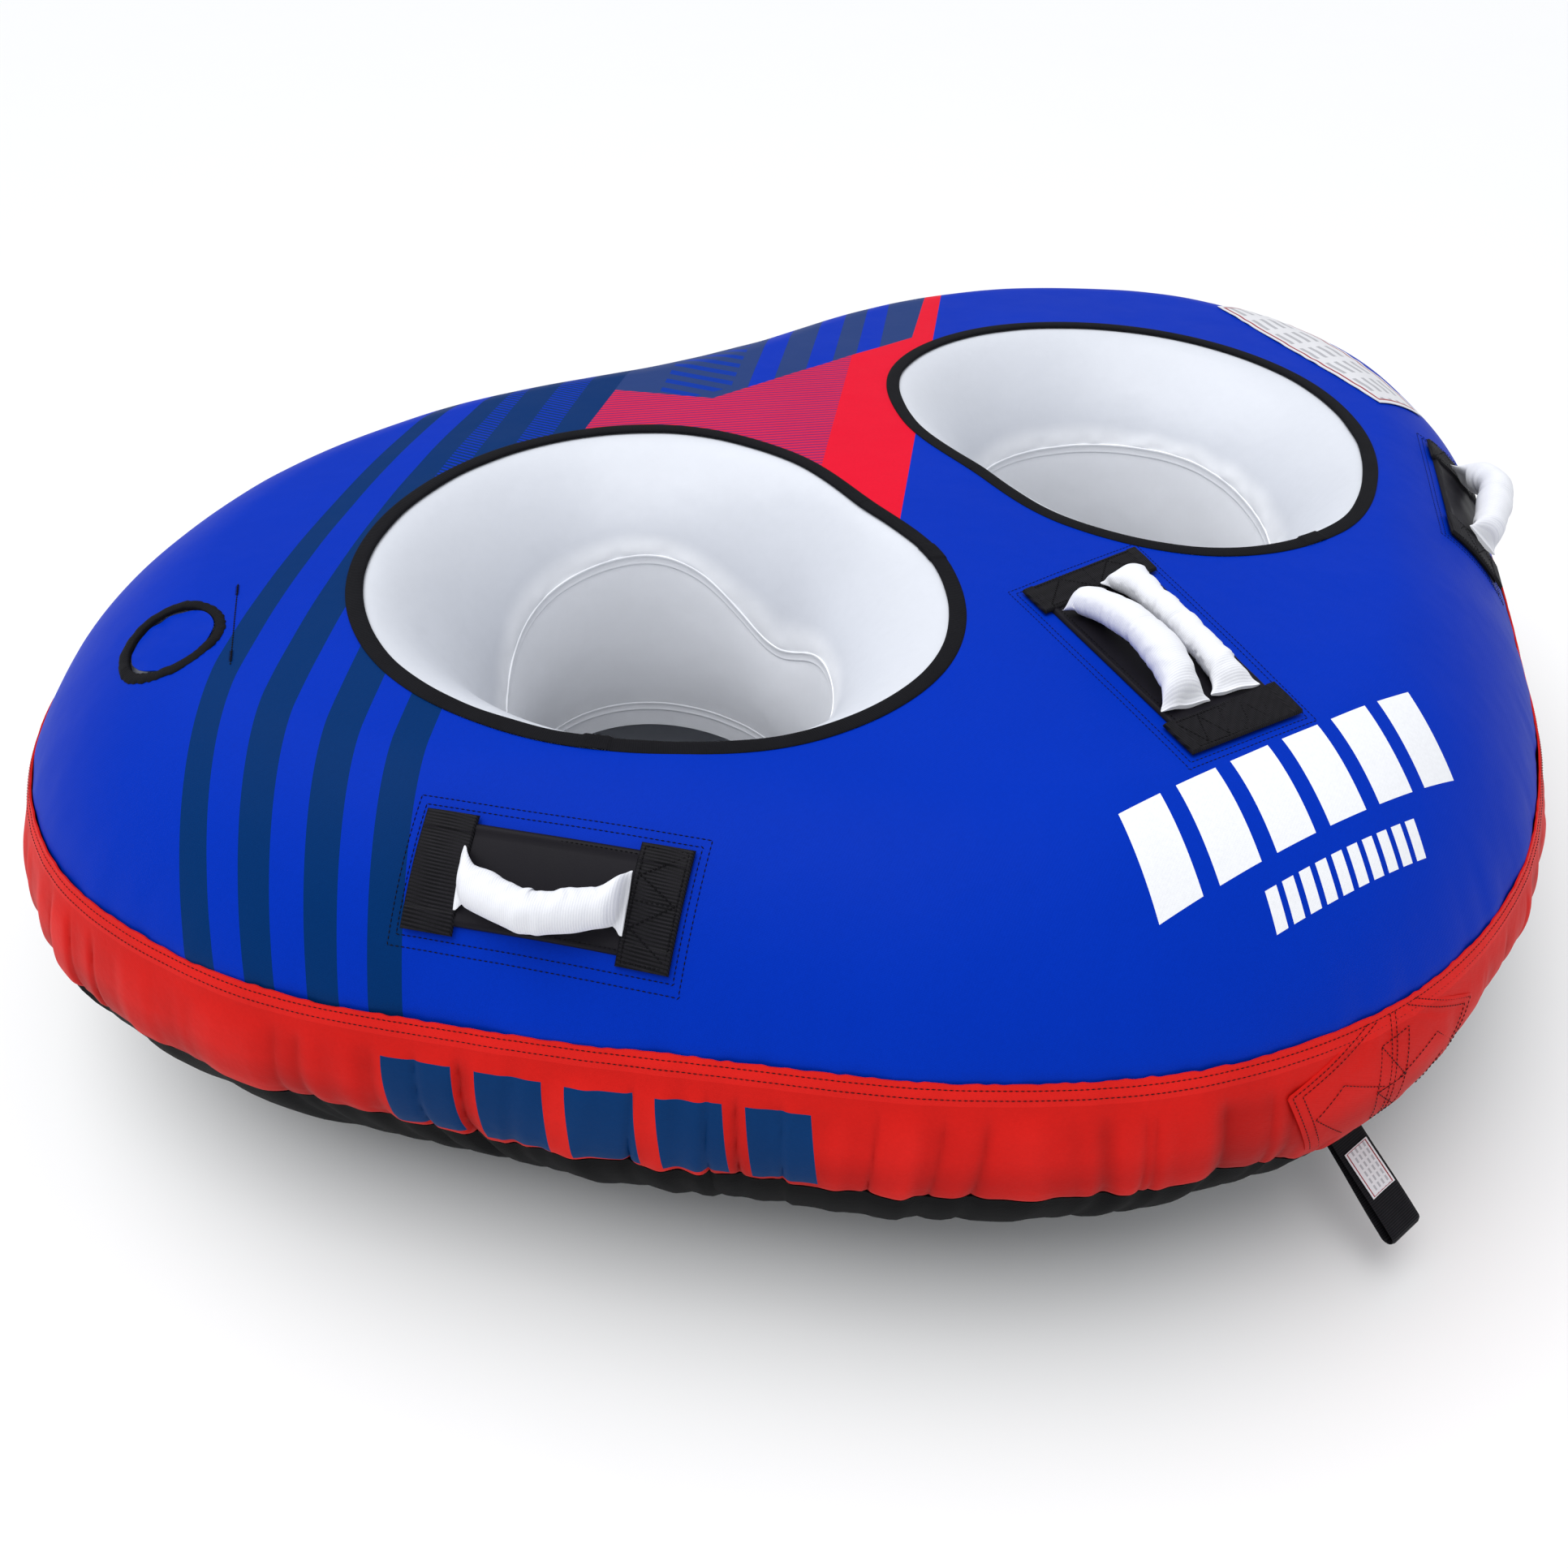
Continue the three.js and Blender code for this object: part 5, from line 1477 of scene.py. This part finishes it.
def tow_path(radius, count=470):
    """An obround round the tow eye, at a radius from its middle line, seen from the side."""
    half = TOW_EYE / 2 + TOW_PLY
    straight = TOW_LENGTH - 2 * half
    middle = (TOW_EYE + TOW_PLY) / 2
    run = np.linspace(0, 2 * straight + TURN * middle, count, endpoint=False)
    bend = math.pi * middle
    on_front = run < straight
    on_turn = (run >= straight) & (run < straight + bend)
    on_back = (run >= straight + bend) & (run < 2 * straight + bend)
    angle = np.where(on_turn, (run - straight) / middle, (run - 2 * straight - bend) / middle + math.pi)
    along_turn, out_of_turn = radius * np.sin(angle), radius * np.cos(angle)
    parts = [on_front, on_turn, on_back]
    down = np.select(parts, [run, straight + along_turn, 2 * straight + bend - run], along_turn)
    out = np.select(parts, [radius, out_of_turn, -radius], out_of_turn)
    return down + half, out, run


def tow_webbing():
    middle = (TOW_EYE + TOW_PLY) / 2
    across = np.linspace(-0.5, 0.5, 14) * TOW_WIDTH
    rounding = rounded(TOW_WIDTH / 2 - np.abs(across), 1.2 * MM) * 0.75 + 0.25
    _, _, run = tow_path(middle)
    ribs = 0.14 * MM * np.sin(run * TURN / WEBBING_RIB)
    faces = []
    for sign in (1, -1):
        rows = []
        for place, thin in zip(across, rounding):
            radius = middle + sign * (TOW_PLY / 2 * thin + ribs * thin)
            down, out, _ = tow_path(radius)
            rows.append(tow_point(down, out * tow_pinch(down), place + 0 * down))
        faces.append(rows)
    shell = Shell()
    shell.sheet(faces[0], faces[1], closed=True)
    thing = shell.piece("tow_webbing", WEBBING, sharp=70)
    place = corners_of(thing) - TOW_ANCHOR
    mark(thing, "along", place @ TOW_DOWN)
    mark(thing, "across", place @ TOW_ACROSS)
    settle(thing, "tow_strap", "webbing", "tow_loop")
    stitching = Stitching()
    down = TOW_TAG_START + np.linspace(3 * MM, TOW_TAG_LENGTH - 3 * MM, 30)
    for side in (-1, 1):
        out = (TOW_EYE / 2 + TOW_PLY) * tow_pinch(down) + 1.1 * MM
        line = tow_point(down, out, side * (TOW_TAG_WIDTH / 2 - 2 * MM) + 0 * down)
        stitching.row(line, np.repeat([TOW_OUT], len(line), 0), pitch=3.4 * MM, length=2.4 * MM)
    stitching.piece("tow_tag_stitches", body="tow_strap")


def tow_tag():
    down = TOW_TAG_START + np.linspace(0, TOW_TAG_LENGTH, 24)
    across = np.linspace(-0.5, 0.5, 16) * TOW_TAG_WIDTH
    rows_down, rows_across = np.meshgrid(down, across)
    surface = (TOW_EYE / 2 + TOW_PLY) * tow_pinch(rows_down) + 0.4 * MM
    curl = 0.5 * MM * np.abs(rows_across / (TOW_TAG_WIDTH / 2)) ** 3
    shell = Shell()
    upper = tow_point(rows_down, surface + curl + 0.5 * MM, rows_across)
    lower = tow_point(rows_down, surface + curl, rows_across)
    shell.sheet(upper, lower)
    thing = shell.piece("tow_tag", LABEL, sharp=60)
    place = corners_of(thing) - TOW_ANCHOR
    mark(thing, "along", (place @ TOW_DOWN - TOW_TAG_START) / TOW_TAG_LENGTH)
    mark(thing, "across", place @ TOW_ACROSS / TOW_TAG_WIDTH + 0.5)
    settle(thing, "tow_strap", "label_fabric", "tow_label")


# ----------------------------------------------------------------------------------------------------------
# Valve opening
# ----------------------------------------------------------------------------------------------------------

VALVE_PLACE = np.array([-693, 56]) * MM


def valve_axes():
    """The valve's middle on the deck, and its inboard, forward and up directions."""
    up = deck_normal(*VALVE_PLACE)
    inboard = unit(np.array([1.0, 0, 0]) - up * up[0])
    return on_deck(*VALVE_PLACE), inboard, np.cross(up, inboard), up


def valve_hole(thing, radius, bottom):
    """Cuts a round hole down the valve's axis."""
    centre, inboard, side, up = valve_axes()
    turn = np.linspace(0, TURN, 96, endpoint=False)
    shell = Shell()
    ring = radius * (np.cos(turn)[:, None] * inboard + np.sin(turn)[:, None] * side)
    top = 25 * MM
    places = ((bottom, 0), (bottom, 1), (top, 1), (top, 0))
    levels = [centre + up * level + ring * wide for level, wide in places]
    shell.join(shell.add(levels), closed=True)
    cutter = shell.piece("cutter", FILM)
    modifier = thing.modifiers.new("hole", "BOOLEAN")
    modifier.object = cutter
    modifier.operation = "DIFFERENCE"
    modifier.solver = "EXACT"
    applied = thing.evaluated_get(bpy.context.evaluated_depsgraph_get())
    mesh = bpy.data.meshes.new_from_object(applied)
    thing.modifiers.clear()
    thing.data = mesh
    mesh.materials.clear()
    mesh.materials.append(FILM if thing.name == "bladder_film" else DECK_CLOTH)
    bpy.data.objects.remove(cutter)


def valve_ring():
    """Frayed tape sewn round the opening."""
    centre, inboard, side, _ = valve_axes()
    turn = np.linspace(0, TURN, 260, endpoint=False)
    fray = 0.7 * MM * wander(turn / TURN * 90, 90, 101) + 0.9 * MM * wander(turn / TURN * 11, 11, 102)
    heave = 0.5 * MM * wander(turn / TURN * 26, 26, 103)
    section = [(39, -2.2), (38.8, 0.4), (39.6, 1.5), (43, 2.0), (46, 1.9), (48, 1.2), (48.6, 0.3), (45, -0.6)]
    rows = []
    for radius, lift in section:
        wide = radius * MM + fray * (0.6 if radius < 43 else 1.0)
        flat = centre + wide[:, None] * (np.cos(turn)[:, None] * inboard + np.sin(turn)[:, None] * side)
        x, y = flat[:, 0], flat[:, 1]
        rows.append(on_deck(x, y, lift * MM + cloth_lift(x, y) + heave * (lift > 1)))
    shell = Shell()
    numbers = shell.add([*rows, rows[0]])
    shell.join(numbers, closed=True)
    thing = shell.piece("valve_ring_tape", TAPE, sharp=60)
    place = corners_of(thing) - centre
    mark(thing, "along", np.arctan2(place @ side, place @ inboard) * 43 * MM)
    settle(thing, "tube", "binding_tape", "valve_opening_binding")


def valve_flap():
    """The wrinkled cloth disc inside the ring."""
    centre, inboard, side, up = valve_axes()
    turn = np.linspace(0, TURN, 120, endpoint=False)
    faces = []
    for drop in (0, 0.7 * MM):
        rows = []
        for share in np.linspace(1, 0, 26):
            wide = share * (37.2 * MM + 0.4 * MM * wander(turn / TURN * 30, 30, 111))
            x, y = wide * np.cos(turn), wide * np.sin(turn)
            wrinkle = 0.9 * MM * patchy(x + 0.3 * y, y * 0.35, 9 * MM, 112) * min(1, share * 3)
            crown = 2.6 * MM * (1 - share ** 2) + 0.9 * MM * patchy(x, y, 24 * MM, 113)
            level = -2.6 * MM + wrinkle + crown - drop
            rows.append(centre + x[:, None] * inboard + y[:, None] * side + level[:, None] * up)
        faces.append(rows)
    shell = Shell()
    outer, inner = shell.add(faces[0]), shell.add(faces[1])
    for rows in (outer, inner, [outer[0], inner[0]]):
        shell.join(rows, closed=True)
    thing = shell.piece("valve_flap_cloth", DECK_CLOTH, sharp=70, weld=1e-5)
    settle(thing, "flap", "blue_nylon", "valve_flap")


def valve_line():
    """The stitched line beside the opening, with a bar-tack at each end."""
    stitching = Stitching()
    start, end = np.array([-623, 100]) * MM, np.array([-662, -18]) * MM
    stitch_on_deck(stitching, [start, end], 0.3 * MM, pitch=3.4 * MM, width=0.8 * MM)
    direction = unit(end - start)
    for tack in (lerp(start, end, 0.09), lerp(start, end, 0.9)):
        for shift in np.linspace(-7, 7, 9) * MM:
            middle = tack + direction * shift
            away = np.array([-direction[1], direction[0]]) * 2.2 * MM
            bar = [middle - away, middle + away]
            stitch_on_deck(stitching, bar, 0.7 * MM, pitch=4.4 * MM, length=4.2 * MM)
    stitching.piece("valve_line_stitches")


# ----------------------------------------------------------------------------------------------------------
# Zip
# ----------------------------------------------------------------------------------------------------------

ZIP_FACE = OUTLINE_RADII[-1] * MM + 1.6 * MM
ZIP_LENGTH = 480 * MM


def zip_tape():
    x = np.linspace(-0.5, 0.5, 400) * ZIP_LENGTH
    z = np.linspace(-14, 14, 22) * MM
    across, rise = np.meshgrid(x, z)
    ribs = 0.12 * MM * np.sin(rise * TURN / (2.6 * MM))
    sway = 0.4 * MM * wander(across / (40 * MM) + 20, 64, 121)
    proud = ZIP_FACE + 1.1 * MM + ribs + sway * np.abs(rise) / (14 * MM)
    shell = Shell()
    height = WIDEST_HEIGHT + rise
    shell.sheet(points(across, proud, height), points(across, proud - 1.0 * MM, height))
    thing = shell.piece("zip_tape_cloth", WEBBING, sharp=60)
    mark(thing, "along", corners_of(thing)[:, 0])
    mark(thing, "across", corners_of(thing)[:, 2])
    settle(thing, "tube", "webbing", "zip_tape")


def zip_teeth():
    """A coil zip's teeth: small rounded links set alternately from each side."""
    shell = Shell()
    pitch = 2.2 * MM
    count = int((ZIP_LENGTH - 18 * MM) / pitch)
    turn = np.linspace(0, TURN, 8, endpoint=False)
    for i in range(count):
        x = (i - (count - 1) / 2) * pitch
        shift = 0.9 * MM if i % 2 else -0.9 * MM
        levels = []
        for rise, wide in ((-2.3, 0.4), (-1.9, 0.85), (1.9, 0.85), (2.3, 0.4)):
            y = ZIP_FACE + 2.3 * MM + wide * 0.8 * MM * np.sin(turn)
            levels.append(points(x + wide * MM * np.cos(turn), y, WIDEST_HEIGHT + shift + rise * MM))
        caps = [np.repeat(level.mean(0)[None], 8, 0) for level in (levels[0], levels[-1])]
        shell.join(shell.add([caps[0], *levels, caps[1]]), closed=True)
    thing = shell.piece("zip_teeth", ZIP_PLASTIC, sharp=60)
    settle(thing, "tube", "zip_plastic", "zip_coil")


def finish_cad_nodes():
    """Procedural finishes for the CAD nodes that stay in view."""
    finishes = {
        "valve_base": VALVE_BOSS,
        "valve_body": VALVE_PLASTIC,
        "valve_cap": VALVE_PLASTIC,
        "valve_diaphragm": RUBBER,
        "zip_slider": ZIP_PLASTIC,
        "zip_pull": WEBBING,
    }
    for name, finish in finishes.items():
        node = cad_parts[name]
        for material_slot in node.material_slots:
            material_slot.material = finish


# ----------------------------------------------------------------------------------------------------------
# Studio
# ----------------------------------------------------------------------------------------------------------


def area_light(name, place, target, size, power):
    data = bpy.data.lights.new(name, "AREA")
    data.shape = "RECTANGLE"
    data.size, data.size_y = size
    data.energy = power
    light = bpy.data.objects.new(name, data)
    back = unit(np.array(place, float) - np.array(target, float))
    right = unit(np.cross([0, 0, 1.0], back))
    turned = Matrix((right, np.cross(back, right), back)).transposed().to_4x4()
    light.matrix_world = Matrix.Translation(place) @ turned
    bpy.context.scene.collection.objects.link(light)


def studio():
    shell = Shell()
    reach, drop = 9.0, -0.001
    x = np.linspace(-reach, reach, 13)
    shell.join(shell.add([points(x, y, drop) for y in np.linspace(-reach, reach, 13)]))
    finish = Finish("studio_floor", (0.90, 0.90, 0.90), 0.85, Specular_IOR_Level=0.2)
    floor = shell.piece("studio_floor", finish.vary(0.005, 400 * MM).done())
    world = bpy.data.worlds.new("studio")
    world.use_nodes = True
    background = world.node_tree.nodes["Background"]
    background.inputs["Color"].default_value = (0.95, 0.97, 1.0, 1)
    background.inputs["Strength"].default_value = 0.60
    bpy.context.scene.world = world
    overhead = bpy.data.lights.new("overhead", "SUN")
    overhead.energy = 1.75
    overhead.angle = math.radians(60)
    lamp = bpy.data.objects.new("overhead", overhead)
    lamp.rotation_euler = (math.radians(-14), math.radians(-16), 0)
    bpy.context.scene.collection.objects.link(lamp)
    area_light("key", (-0.9, -0.9, 2.8), (0, 0, 0.2), (1.6, 1.6), 14)
    bpy.context.scene.view_settings.view_transform = "Standard"


# ----------------------------------------------------------------------------------------------------------
# Assembly
# ----------------------------------------------------------------------------------------------------------

bladder()
for side_name, side_sign in (("left", -1), ("right", 1)):
    weld_ridge(f"upper_weld_{side_name}", upper_weld_height(side_sign) - WELD_HEIGHT, side_sign)
    weld_ridge(f"lower_weld_{side_name}", LOWER_WELD_HEIGHT, side_sign)
mouth_tape("mouth_binding_left", -1, joints=(205, 310))
mouth_tape("mouth_binding_right", 1, joints=(262,))
top_cloth()
band_cloth_piece()
lower_cloth()
bottom_cloth()
seam_stitches()
handle_pads()
for grip_name, grip_seed in (("left", 201), ("centre_left", 211), ("centre_right", 221), ("right", 231)):
    grip_piece(grip_name, grip_seed)
nose_patch()
nose_stitches()
shoulder_tag()
tow_webbing()
tow_tag()
valve_ring()
valve_flap()
valve_line()
zip_tape()
zip_teeth()
finish_cad_nodes()
studio()
